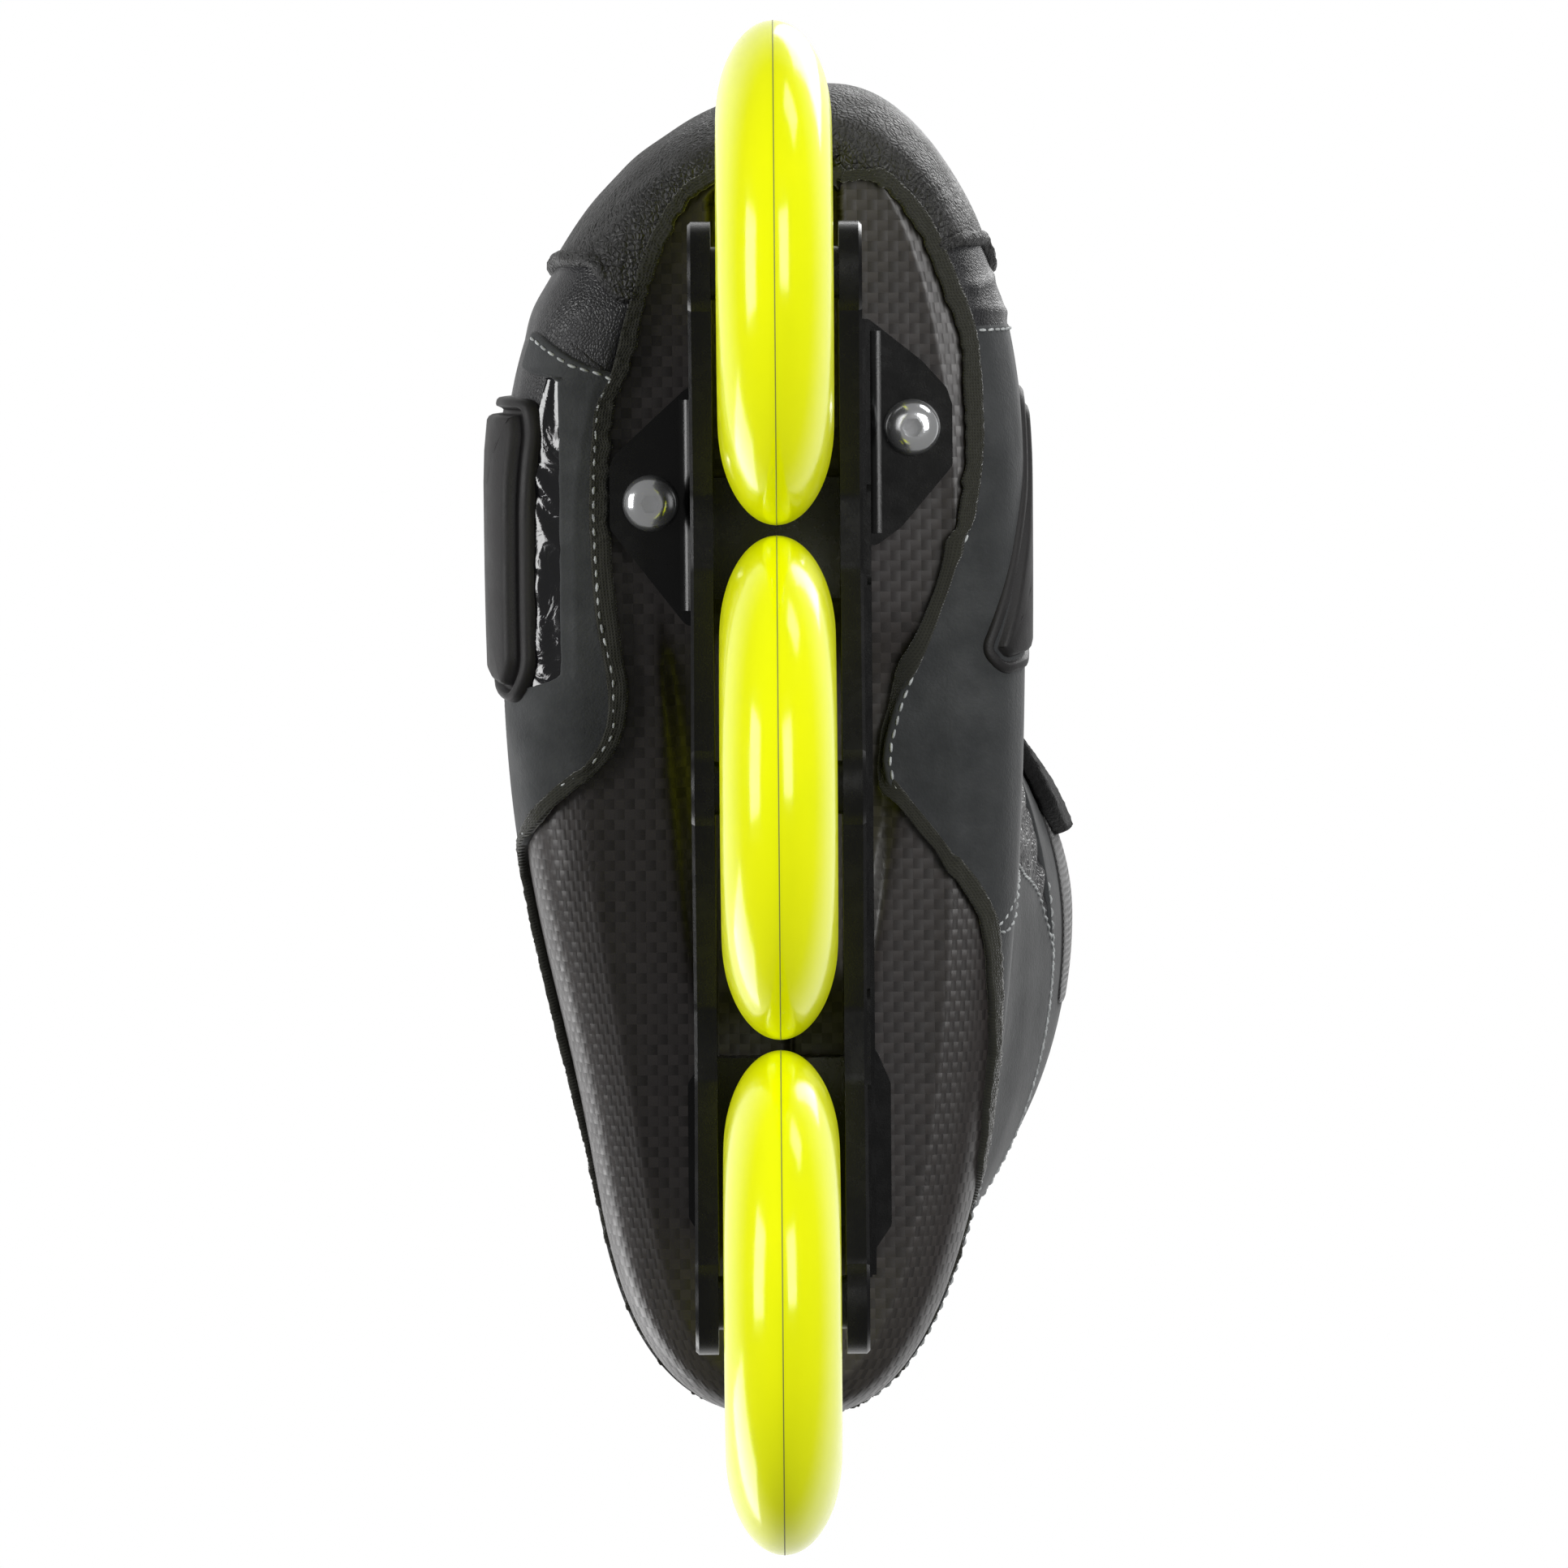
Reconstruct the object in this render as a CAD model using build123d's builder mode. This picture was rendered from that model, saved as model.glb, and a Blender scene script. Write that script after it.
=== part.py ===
"""Inline skate for the right foot, three 110 mm wheels, as separate pieces in one frame.

Millimetres. +Z up, wheels on z = 0, toe toward -Y, medial side toward +X.
The origin lies on the ground under the middle axle.
"""
import os
from math import atan, cos, degrees, exp, pi, radians, sin, sqrt

from build123d import *

# Wheels and bearings
wheel_diameter = 110.0
tyre_width = 25.4
tyre_depth = 23.5
wheel_gap = 2.3
core_width = 24.0
core_rim = 5.0
hub_wall = 4.5
spoke_count = 6
spoke_width = 6.0
bearing_bore = 8.0
bearing_outer = 22.0
bearing_width = 7.0
ball_radius = 1.95
ball_count = 7
ball_clearance = 0.07
ring_wall = 2.05
cage_clearance = 0.5
cage_width = 4.8
shield_thickness = 0.5

# Frame
channel_width = 28.0
rail_thickness = 5.0
frame_overhang = 11.3
axle_head_diameter = 13.0
axle_head_depth = 3.0
flange_thickness = 5.0
flange_fillet = 2.6
rail_steps = ((0.9, -26.0), (1.9, -21.0))
deck_thickness = 7.0
wheel_clearance = 2.5
bolt_diameter = 6.0
bolt_head_diameter = 12.6
bolt_head_height = 4.4
bolt_hole_clearance = 0.2
insert_wall = 2.5
insert_height = 8.0

# Boot
toe_y = -156.0
heel_y = 144.0
lateral_x = -61.0
medial_x = 55.0
boot_height = 190.0
sole_slope = 0.0638
floor_wall = 2.34
wall = 5.0
lining_thickness = 3.0
tongue_thickness = 5.0
collar_thickness = 5.0
insole_thickness = 3.0
fit_gap = 0.4
toe_cap_length = 41.0
vamp_length = 17.0
throat_width = 26.0
throat_x = 4.0
tongue_margin = 10.0
heel_panel_y = 45.0
cuff_height = 112.0
carbon_rear_height = 30.0
lateral_pad_thickness = 5.4
medial_pad_thickness = 2.8
patent_thickness = 0.8

# Ankle strap, laces, heel loop
strap_gap = 1.2
strap_thickness = 3.8
strap_low = 122.0
strap_width = 36.0
strap_end_y = 31.0
strap_root_y = 6.0
catch_thickness = 0.7
lace_radius = 1.3
lace_rows = 6
eyelet_radius = 3.6
eyelet_hole = 1.7
eyelet_height = 1.2
loop_width = 16.0
loop_thickness = 2.5
loop_reach = 9.0

# Worked out from the above
wheel_radius = wheel_diameter / 2
axle_z = wheel_radius
axle_spacing = wheel_diameter + wheel_gap
axle_ys = {"front": -axle_spacing, "middle": 0.0, "rear": axle_spacing}
tyre_inner = wheel_radius - tyre_depth
core_inner = tyre_inner - core_rim
hub_radius = bearing_outer / 2 + hub_wall
pitch_radius = (bearing_bore + bearing_outer) / 4
groove_radius = ball_radius + ball_clearance
inner_ring_outer = bearing_bore / 2 + ring_wall
outer_ring_inner = bearing_outer / 2 - ring_wall
bearing_x = core_width / 2 - bearing_width / 2
rail_inner = channel_width / 2
rail_outer = rail_inner + rail_thickness
arch_radius = wheel_radius + wheel_clearance
sole_height = wheel_diameter
footbed = sole_slope * axle_spacing + wheel_clearance + floor_wall
tilt = degrees(atan(sole_slope))
toe_seam = toe_y + toe_cap_length
vamp_seam = toe_seam + vamp_length

# The sole's plane (x across, y along the sole) and its side view (y along, h up)
sole = Plane(origin=(0, 0, sole_height), x_dir=(1, 0, 0), z_dir=(0, -sin(radians(tilt)), cos(radians(tilt))))
side = Plane(origin=(0, 0, sole_height), x_dir=sole.y_dir, z_dir=(1, 0, 0))
across = Plane.YZ

# Boot outline by height: height, how far it stands in at toe, heel, lateral and medial side,
# widest y, tip x, squareness of the heel, share that the lateral side is waisted by
boot_rows = [
    (0, 18, 8, 16, 15, -55, 12, 2.7, 0.13),
    (3, 10, 4, 8, 7, -60, 12, 2.7, 0.13),
    (8, 5, 2, 3.5, 3, -63, 12, 2.7, 0.13),
    (16, 1.5, 0.5, 1, 0.5, -66, 12, 2.7, 0.13),
    (28, 0, 0, 0, 0, -68, 12, 2.7, 0.13),
    (45, 6, 1, 3, 1, -55, 12, 2.6, 0.13),
    (58, 21, 3, 5, 1, -40, 10, 2.4, 0.09),
    (75, 61, 5, 7, 0, 8, 6, 2.2, 0.04),
    (95, 101, 10, 10, -4, 36, 5, 2.1, 0),
    (115, 123, 14, 9, -9, 42, 5, 2.0, 0),
    (140, 134, 18, 11, -13, 41, 6, 2.0, 0),
    (165, 138, 18, 12, -14, 40, 6, 2.0, 0),
    (190, 140, 16, 13, -14, 39, 6, 2.0, 0),
    (210, 141, 15, 13, -14, 39, 6, 2.0, 0),
]
front_power = 2.0
waist_y = 78.0
waist_reach = 52.0
heel_x = 2.0
points_per_quarter = 5

parts = {}


def keep(name, part):
    """Label a finished sub-part and remember it for export."""
    part.label = name
    parts[name] = part


def row_at(height):
    """Boot row at any height, straight between the two rows beside it."""
    below = max((row for row in boot_rows if row[0] <= height), key=lambda row: row[0])
    above = min((row for row in boot_rows if row[0] >= height), key=lambda row: row[0])
    span = max(above[0] - below[0], 1e-9)
    share = (height - below[0]) / span
    return [low + (high - low) * share for low, high in zip(below, above)]


def extremes(height, inset):
    """Toe, heel, lateral and medial limits of the outline, its widest y and its tip x."""
    toe_in, heel_in, lateral_in, medial_in, widest, tip = row_at(height)[1:7]
    return (
        toe_y + toe_in + inset,
        heel_y - heel_in - inset,
        lateral_x + lateral_in + inset,
        medial_x - medial_in - inset,
        widest,
        tip,
    )


def boot_outline(height, inset):
    """Points round the outline, four superellipse quarters from the toe tip."""
    toe, heel, lateral, medial, widest, tip = extremes(height, inset)
    rear_power, waist = row_at(height)[7:9]
    quarters = [
        (tip, medial, toe, front_power, 0, False),
        (heel_x, medial, heel, rear_power, 0, True),
        (heel_x, lateral, heel, rear_power, waist, False),
        (tip, lateral, toe, front_power, 0, True),
    ]
    points = []
    for centre_x, edge_x, end_y, power, pinch, backward in quarters:
        for step in range(points_per_quarter):
            angle = pi / 2 * step / points_per_quarter
            if backward:
                angle = pi / 2 - angle
            across_share = sin(angle) ** (2 / power)
            y = widest + (end_y - widest) * cos(angle) ** (2 / power)
            across_share *= 1 - pinch * exp(-(((y - waist_y) / waist_reach) ** 2))
            points.append((centre_x + (edge_x - centre_x) * across_share, y))
    return points


def boot_form(inset, low, high):
    """Solid of the boot's outside drawn in by inset, from low to high above the sole."""
    levels = [low] + [row[0] for row in boot_rows if low + 1 < row[0] < high - 1] + [high]
    with BuildPart() as form:
        for level in levels:
            with BuildSketch(sole.offset(level)):
                with BuildLine():
                    Spline(*boot_outline(level, inset), periodic=True)
                make_face()
        loft()
    return form.part


def side_region(points, from_x=-100, to_x=100):
    """Block with a side-view outline in (y along the sole, h), between two x."""
    with BuildPart() as region:
        with BuildSketch(side.offset(from_x)):
            with BuildLine():
                Polyline(*points, close=True)
            make_face()
        extrude(amount=to_x - from_x)
    return region.part


def band(low_y, high_y, low_h, high_h, from_x=-100, to_x=100):
    """Side-view rectangle as a region."""
    corners = [(low_y, low_h), (high_y, low_h), (high_y, high_h), (low_y, high_h)]
    return side_region(corners, from_x, to_x)


# ---- Wheels, three alike ----
def make_tyre(name, y):
    """Urethane tyre with a bullet profile, widest at the core."""
    with BuildPart() as tyre:
        with BuildSketch(Plane.XY):
            with Locations((0, tyre_inner + 1.5)):
                Ellipse(tyre_width / 2, tyre_depth - 1.5)
            with Locations((0, 0)):
                Rectangle(2 * tyre_width, 2 * tyre_inner, mode=Mode.SUBTRACT)
        revolve(axis=Axis.X)
    keep(name, Pos(0, y, axle_z) * tyre.part)


def make_core(name, y):
    """Spoked wheel core with a rim, a hub and a bearing seat each side."""
    shoulder = bearing_outer / 2 - 1.5
    with BuildPart() as core:
        with BuildSketch(Plane.YZ.offset(-core_width / 2)):
            Circle(tyre_inner)
            Circle(core_inner, mode=Mode.SUBTRACT)
        extrude(amount=core_width)
        with BuildSketch(Plane.YZ.offset(-core_width / 2)):
            Circle(hub_radius)
            Circle(shoulder, mode=Mode.SUBTRACT)
        extrude(amount=core_width)
        with BuildSketch(Plane.YZ.offset(-core_width / 3)):
            with PolarLocations((hub_radius + core_inner) / 2, spoke_count):
                Rectangle(core_inner - hub_radius + 2, spoke_width)
        extrude(amount=core_width * 2 / 3)
        for start in (-core_width / 2, core_width / 2 - bearing_width):
            with BuildSketch(Plane.YZ.offset(start)):
                Circle(bearing_outer / 2)
            extrude(amount=bearing_width, mode=Mode.SUBTRACT)
    keep(name, Pos(0, y, axle_z) * core.part)


def make_ring(name, y, low, high):
    """Two bearing rings with a ball groove, between radii low and high."""
    with BuildPart() as rings:
        with BuildSketch(Plane.XY):
            for x in (-bearing_x, bearing_x):
                with Locations((x, (low + high) / 2)):
                    Rectangle(bearing_width, high - low)
                with Locations((x, pitch_radius)):
                    Circle(groove_radius, mode=Mode.SUBTRACT)
        revolve(axis=Axis.X)
    keep(name, Pos(0, y, axle_z) * rings.part)


def make_balls(name, y):
    """Seven balls in each of the two bearings."""
    with BuildPart() as balls:
        for x in (-bearing_x, bearing_x):
            with Locations(Plane.YZ.offset(x)):
                with PolarLocations(pitch_radius, ball_count):
                    Sphere(ball_radius)
    keep(name, Pos(0, y, axle_z) * balls.part)


def make_cages(name, y):
    """Two ball cages, each a ring with a pocket for every ball."""
    with BuildPart() as cages:
        for x in (-bearing_x, bearing_x):
            with BuildSketch(Plane.YZ.offset(x - cage_width / 2)):
                Circle(outer_ring_inner - cage_clearance)
                Circle(inner_ring_outer + cage_clearance, mode=Mode.SUBTRACT)
            extrude(amount=cage_width)
            with Locations(Plane.YZ.offset(x)):
                with PolarLocations(pitch_radius, ball_count):
                    Cylinder(groove_radius, ball_radius * 2, rotation=(0, 90, 0), mode=Mode.SUBTRACT)
    keep(name, Pos(0, y, axle_z) * cages.part)


def make_shields(name, y):
    """A thin shield each side of both bearings, held in the outer ring."""
    with BuildPart() as shields:
        for x in (-bearing_x, bearing_x):
            for edge in (-1, 1):
                plane_x = x + edge * (bearing_width / 2 - shield_thickness)
                with BuildSketch(Plane.YZ.offset(plane_x - shield_thickness / 2)):
                    Circle(outer_ring_inner)
                    Circle(inner_ring_outer + cage_clearance, mode=Mode.SUBTRACT)
                extrude(amount=shield_thickness)
    keep(name, Pos(0, y, axle_z) * shields.part)


def make_spacer(name, y):
    """Sleeve on the axle that keeps the two inner rings apart."""
    length = core_width - 2 * bearing_width
    with BuildPart() as spacer:
        with BuildSketch(Plane.YZ.offset(-length / 2)):
            Circle(inner_ring_outer)
            Circle(bearing_bore / 2, mode=Mode.SUBTRACT)
        extrude(amount=length)
    keep(name, Pos(0, y, axle_z) * spacer.part)


def make_axle(name, y):
    """One-piece axle: a head sunk in the lateral rail and a shank through to the medial rail."""
    with BuildPart() as axle:
        with BuildSketch(Plane.YZ.offset(-rail_outer)):
            Circle(bearing_bore / 2)
        extrude(amount=2 * rail_outer)
        with BuildSketch(Plane.YZ.offset(-rail_outer)):
            Circle(axle_head_diameter / 2)
        extrude(amount=axle_head_depth)
        head_rim = axle.edges().filter_by(GeomType.CIRCLE).sort_by(Axis.X)[0]
        chamfer(head_rim, 0.6)
        with BuildSketch(Plane.YZ.offset(-rail_outer)):
            RegularPolygon(2.5, 6, major_radius=False)
        extrude(amount=axle_head_depth + 1.5, mode=Mode.SUBTRACT)
    keep(name, Pos(0, y, axle_z) * axle.part)


for place, axle_y in axle_ys.items():
    make_tyre(f"{place}_wheel_tyre", axle_y)
    make_core(f"{place}_wheel_core", axle_y)
    make_ring(f"{place}_bearing_outer_rings", axle_y, outer_ring_inner, bearing_outer / 2)
    make_ring(f"{place}_bearing_inner_rings", axle_y, bearing_bore / 2, inner_ring_outer)
    make_balls(f"{place}_bearing_balls", axle_y)
    make_cages(f"{place}_bearing_cages", axle_y)
    make_shields(f"{place}_bearing_shields", axle_y)
    make_spacer(f"{place}_bearing_spacer", axle_y)
    make_axle(f"{place}_axle", axle_y)


# ---- Frame: one machined aluminium channel with two front flanges and a rear mount ----
front_y = -axle_spacing
rear_y = axle_spacing
bridge_y = -axle_spacing / 2
bridge_length = 27.0
deck_front = 60.0
deck_rear = 98.0
lateral_bolt = (-28.0, -64.0)
medial_bolt = (30.3, -80.5)
rear_bolt = (0.0, 70.0)
mount_bolts = {"lateral": lateral_bolt, "medial": medial_bolt, "rear": rear_bolt}


def sole_z(y):
    """Height of the sole's plane at y."""
    return sole_height + sole_slope * y


rail_outline = [
    (front_y - 5, axle_z + 8),
    (front_y + 4, axle_z + 40),
    (front_y + 15, sole_z(front_y + 15)),
    (-34, sole_z(-34)),
    (-20, sole_z(-20) - 12),
    (30, sole_z(30) - 12),
    (42, sole_z(42)),
    (deck_rear + 4, sole_z(deck_rear + 4)),
    (rear_y - 1, axle_z + 36),
    (rear_y + 5, axle_z + 8),
    (rear_y - 6, axle_z - 9),
    (rear_y / 2 + 8, axle_z + 14),
    (rear_y / 2 - 8, axle_z + 14),
    (6, axle_z - 9),
    (-6, axle_z - 9),
    (front_y / 2 + 8, axle_z + 14),
    (front_y / 2 - 8, axle_z + 14),
    (front_y + 6, axle_z - 9),
]
window = [(-14, 34), (14, 34), (5, 22), (-5, 22)]
step_outer = rail_outer + max(rise for rise, _ in rail_steps)

# Where each flange's rounded inner corner runs: x, from y, to y
flange_roots = [(-rail_outer, -87, -40), (step_outer, -102, -57)]

# The medial rail steps outward toward the sole: (y, h), where no h stands for the step's own low edge
step_outline = [
    (front_y + 8, None),
    (rear_y - 5, None),
    (rear_y - 5, -flange_thickness),
    (42, -flange_thickness),
    (30, -14),
    (-20, -14),
    (-34, -flange_thickness),
    (front_y + 12, -flange_thickness),
]
lateral_flange = [(-15, -90), (-20, -89.5), (-36.2, -74.6), (-37.2, -72), (-37.2, -58.3), (-20.5, -36.8), (-15, -36)]
medial_flange = [
    (15, -105),
    (20.9, -104.6),
    (32.7, -95.2),
    (38.1, -89.2),
    (39.3, -85.5),
    (39.3, -71.9),
    (27.8, -58.3),
    (22.3, -54.3),
    (15, -54),
]
rear_plate = [(-19, 63), (-20.9, 66), (-20.9, 96), (-19, 99), (-15, 99), (-15, 106), (19, 106), (24.5, 98), (24.5, 66), (21, 58), (15, 58)]

def flange_root_plane(x, y):
    """Cross-section plane at the corner between a rail and a flange, its y pointing down."""
    corner = sole.from_local_coords(Vector(x, y, -flange_thickness))
    return Plane(origin=corner, x_dir=(1, 0, 0), z_dir=sole.y_dir)


with BuildPart() as frame:
    for start in (-rail_outer, rail_inner):
        with BuildSketch(across.offset(start)):
            with BuildLine():
                Polyline(*rail_outline, close=True)
            make_face()
            fillet(vertices(), radius=5)
            with Locations(*[(y, axle_z) for y in axle_ys.values()]):
                Circle(frame_overhang)
        extrude(amount=rail_thickness)
    rail_edges = frame.edges().filter_by(Plane.YZ).group_by(Axis.X)
    chamfer(rail_edges[0] + rail_edges[-1], 0.7)
    for rise, low in rail_steps:
        with BuildSketch(side.offset(rail_outer - 1)):
            with BuildLine():
                Polyline(*[(y, low if h is None else h) for y, h in step_outline], close=True)
            make_face()
        extrude(amount=1 + rise)
    for middle_y in (front_y / 2, rear_y / 2):
        with BuildSketch(across.offset(-step_outer)):
            with BuildLine():
                Polyline(*[(middle_y + y, axle_z + z) for y, z in window], close=True)
            make_face()
            fillet(vertices(), radius=2.5)
        extrude(amount=2 * step_outer, mode=Mode.SUBTRACT)
    bridge_span = [(bridge_y, bridge_length), ((deck_front + deck_rear) / 2, deck_rear - deck_front)]
    for (middle_y, length), depth in zip(bridge_span, (deck_thickness + 1, deck_thickness)):
        with BuildSketch(sole.offset(-depth)):
            with Locations((0, middle_y)):
                Rectangle(channel_width + 2, length)
        extrude(amount=depth)
    for outline in (lateral_flange, medial_flange, rear_plate):
        with BuildSketch(sole.offset(-flange_thickness)):
            with BuildLine():
                Polyline(*outline, close=True)
            make_face()
            fillet(vertices(), radius=2.5)
            with Locations((0, 0)):
                Rectangle(channel_width, 400, mode=Mode.SUBTRACT)
        extrude(amount=flange_thickness)
    for root_x, start_y, end_y in flange_roots:
        facing = 1 if root_x > 0 else -1
        with BuildSketch(flange_root_plane(root_x, start_y)):
            with Locations((facing * (flange_fillet - 0.2) / 2, (flange_fillet - 0.2) / 2)):
                Rectangle(flange_fillet + 0.2, flange_fillet + 0.2)
            with Locations((facing * flange_fillet, flange_fillet)):
                Circle(flange_fillet, mode=Mode.SUBTRACT)
        extrude(amount=end_y - start_y)
    for y in axle_ys.values():
        with BuildSketch(across.offset(-rail_inner)):
            with Locations((y, axle_z)):
                Circle(arch_radius)
        extrude(amount=channel_width, mode=Mode.SUBTRACT)
        for start in (-rail_inner, core_width / 2 + 0.05):
            with BuildSketch(across.offset(start)):
                with Locations((y, axle_z)):
                    Circle(inner_ring_outer - 0.2)
            extrude(amount=rail_inner - core_width / 2 - 0.05)
        with BuildSketch(across.offset(-rail_outer)):
            with Locations((y, axle_z)):
                Circle(bearing_bore / 2 + 0.02)
        extrude(amount=2 * rail_outer, mode=Mode.SUBTRACT)
        with BuildSketch(across.offset(-rail_outer)):
            with Locations((y, axle_z)):
                Circle(axle_head_diameter / 2 + 0.1)
        extrude(amount=axle_head_depth + 0.02, mode=Mode.SUBTRACT)
    with BuildSketch(sole.offset(-deck_thickness - 1)):
        with Locations(*mount_bolts.values()):
            Circle(bolt_diameter / 2 + bolt_hole_clearance)
    extrude(amount=deck_thickness + 2, mode=Mode.SUBTRACT)
keep("frame", frame.part)


# ---- Mount bolts and the threaded inserts in the sole ----
def make_bolts(name, centres, seat):
    """Domed socket bolts, heads under the frame at height seat, shanks up into the sole."""
    with BuildPart() as bolts:
        with BuildSketch(sole.offset(seat - bolt_head_height)):
            with Locations(*centres):
                Circle(bolt_head_diameter / 2)
        extrude(amount=bolt_head_height)
        rims = bolts.edges().filter_by(GeomType.CIRCLE).group_by(Axis(sole.origin, sole.z_dir))[0]
        fillet(rims, bolt_head_height * 0.94)
        with BuildSketch(sole.offset(seat - bolt_head_height)):
            with Locations(*centres):
                RegularPolygon(2.0, 6, major_radius=False)
        extrude(amount=2.6, mode=Mode.SUBTRACT)
        with BuildSketch(sole.offset(seat - 1)):
            with Locations(*centres):
                Circle(bolt_diameter / 2)
        extrude(amount=insert_height - seat)
    keep(name, bolts.part)


make_bolts("front_mount_bolts", (lateral_bolt, medial_bolt), -flange_thickness)
make_bolts("rear_mount_bolt", (rear_bolt,), -deck_thickness)

insert_radius = bolt_diameter / 2 + insert_wall
with BuildPart() as sole_inserts:
    with BuildSketch(sole):
        with Locations(*mount_bolts.values()):
            Circle(insert_radius)
            Circle(bolt_diameter / 2 + 0.02, mode=Mode.SUBTRACT)
    extrude(amount=insert_height)
keep("sole_inserts", sole_inserts.part)

# ---- Boot forms that the shells are cut from ----
outer_form = boot_form(0, 0, boot_height)
cavity_form = boot_form(wall, footbed, boot_height + 15)
with BuildPart() as boot_wall:
    add(outer_form)
    add(cavity_form, mode=Mode.SUBTRACT)
carbon_plan = [
    (-20, -136),
    (-28, -118),
    (-32, -104),
    (-39, -80),
    (-39, -62),
    (-35, -22),
    (-42, -7),
    (-62, 14),
    (-62, heel_y + 8),
    (62, heel_y + 8),
    (47, 34),
    (36.6, 14.6),
    (23.5, -3),
    (31, -31),
    (41.3, -58.8),
    (43.3, -80),
    (35.6, -117),
    (20, -138),
]
with BuildPart() as carbon_region:
    with BuildSketch(sole.offset(-1)):
        with BuildLine():
            Polyline(*carbon_plan, close=True)
        make_face()
    extrude(amount=footbed + 1)
    add(side_region([(16, 5), (30, carbon_rear_height - 4), (heel_y + 8, carbon_rear_height), (heel_y + 8, 5)]))

# ---- Carbon shell: sole and heel cup, relieved over the front two wheels ----
with BuildPart() as carbon_shell:
    add(boot_wall.part)
    add(carbon_region.part, mode=Mode.INTERSECT)
    for y in (front_y, 0.0):
        with BuildSketch(across.offset(-rail_inner)):
            with Locations((y, axle_z)):
                Circle(arch_radius)
        extrude(amount=channel_width, mode=Mode.SUBTRACT)
    with BuildSketch(sole):
        with Locations(*mount_bolts.values()):
            Circle(insert_radius + 0.02)
    extrude(amount=insert_height + 0.5, mode=Mode.SUBTRACT)
keep("carbon_shell", carbon_shell.part)

# ---- Upper: side-view regions that meet along shared seams ----
top_h = boot_height + 20
vamp_top = (vamp_seam + 12, 62)
cuff_front = (-70, cuff_height - 14)
cuff_back = (heel_y + 10, cuff_height + 4)
cuff_at_panel = (heel_panel_y, cuff_height + 1)
toe_region = side_region([(toe_y - 10, -2), (toe_seam, -2), (toe_seam, top_h), (toe_y - 10, top_h)])
vamp_corners = [(toe_seam, -2), (vamp_seam, -2), (vamp_seam, 40), vamp_top, (vamp_top[0], top_h), (toe_seam, top_h)]
vamp_region = side_region(vamp_corners)
quarter_corners = [
    (vamp_seam, -2),
    (heel_panel_y, -2),
    cuff_at_panel,
    cuff_front,
    (vamp_top[0], cuff_front[1] + 12),
    vamp_top,
    (vamp_seam, 40),
]
heel_region = side_region([(heel_panel_y, -2), (heel_y + 10, -2), cuff_back, cuff_at_panel])
cuff_region = side_region([cuff_front, cuff_at_panel, cuff_back, (heel_y + 10, top_h), (-70, top_h)])
throat_low_y = vamp_top[0] + 4
throat = band(throat_low_y, 0, 50, top_h, throat_x - throat_width / 2, throat_x + throat_width / 2)

with BuildPart() as toe_cap:
    add(boot_wall.part)
    add(toe_region, mode=Mode.INTERSECT)
    add(carbon_region.part, mode=Mode.SUBTRACT)
    with BuildSketch(across.offset(-rail_inner)):
        with Locations((front_y, axle_z)):
            Circle(arch_radius)
    extrude(amount=channel_width, mode=Mode.SUBTRACT)
keep("toe_cap", toe_cap.part)

with BuildPart() as vamp:
    add(boot_wall.part)
    add(vamp_region, mode=Mode.INTERSECT)
    add(carbon_region.part, mode=Mode.SUBTRACT)
keep("vamp", vamp.part)

for name, from_x, to_x in (("lateral_quarter", -100, throat_x), ("medial_quarter", throat_x, 100)):
    quarter_region = side_region(quarter_corners, from_x, to_x)
    with BuildPart() as quarter:
        add(boot_wall.part)
        add(quarter_region, mode=Mode.INTERSECT)
        add(carbon_region.part, mode=Mode.SUBTRACT)
        add(throat, mode=Mode.SUBTRACT)
    keep(name, quarter.part)

with BuildPart() as heel_panel:
    add(boot_wall.part)
    add(heel_region, mode=Mode.INTERSECT)
    add(carbon_region.part, mode=Mode.SUBTRACT)
keep("heel_panel", heel_panel.part)

with BuildPart() as ankle_cuff:
    add(boot_wall.part)
    add(cuff_region, mode=Mode.INTERSECT)
    add(throat, mode=Mode.SUBTRACT)
keep("ankle_cuff", ankle_cuff.part)

# ---- Inside: tongue, lining, collar padding, insole ----
liner_out = wall + fit_gap
liner_in = liner_out + lining_thickness
tongue_in = liner_out + tongue_thickness
tongue_half = throat_width / 2 + tongue_margin
liner_low = footbed + fit_gap
liner_solid = boot_form(liner_out, liner_low, boot_height + 10)

with BuildPart() as tongue:
    add(liner_solid)
    add(boot_form(tongue_in, footbed - 1, boot_height + 15), mode=Mode.SUBTRACT)
    add(band(throat_low_y - 8, 0, 52, boot_height + 8, throat_x - tongue_half, throat_x + tongue_half), mode=Mode.INTERSECT)
keep("tongue", tongue.part)

with BuildPart() as lining:
    add(liner_solid)
    add(boot_form(liner_in, footbed - 1, boot_height + 15), mode=Mode.SUBTRACT)
    add(band(vamp_seam, heel_y + 10, footbed - 5, boot_height - 3), mode=Mode.INTERSECT)
    add(
        band(toe_y, 0, 45, top_h, throat_x - tongue_half - fit_gap, throat_x + tongue_half + fit_gap),
        mode=Mode.SUBTRACT,
    )
keep("lining", lining.part)

with BuildPart() as collar_padding:
    add(boot_form(liner_in + fit_gap, boot_height - 55, boot_height - 4))
    add(boot_form(liner_in + fit_gap + collar_thickness, boot_height - 60, boot_height), mode=Mode.SUBTRACT)
    add(band(14, heel_y, boot_height - 60, boot_height), mode=Mode.INTERSECT)
keep("collar_padding", collar_padding.part)

keep("insole", boot_form(liner_in + fit_gap, liner_low, liner_low + insole_thickness))


# ---- Pieces sewn or glued on the outside ----
def applied(name, thickness, region, lift=0.0):
    """Layer of one thickness on the outside of the boot, within a region."""
    with BuildPart() as layer:
        add(boot_form(-lift - thickness, 0, boot_height))
        add(boot_form(-lift, 0, boot_height), mode=Mode.SUBTRACT)
        add(region, mode=Mode.INTERSECT)
    keep(name, layer.part)


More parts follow.
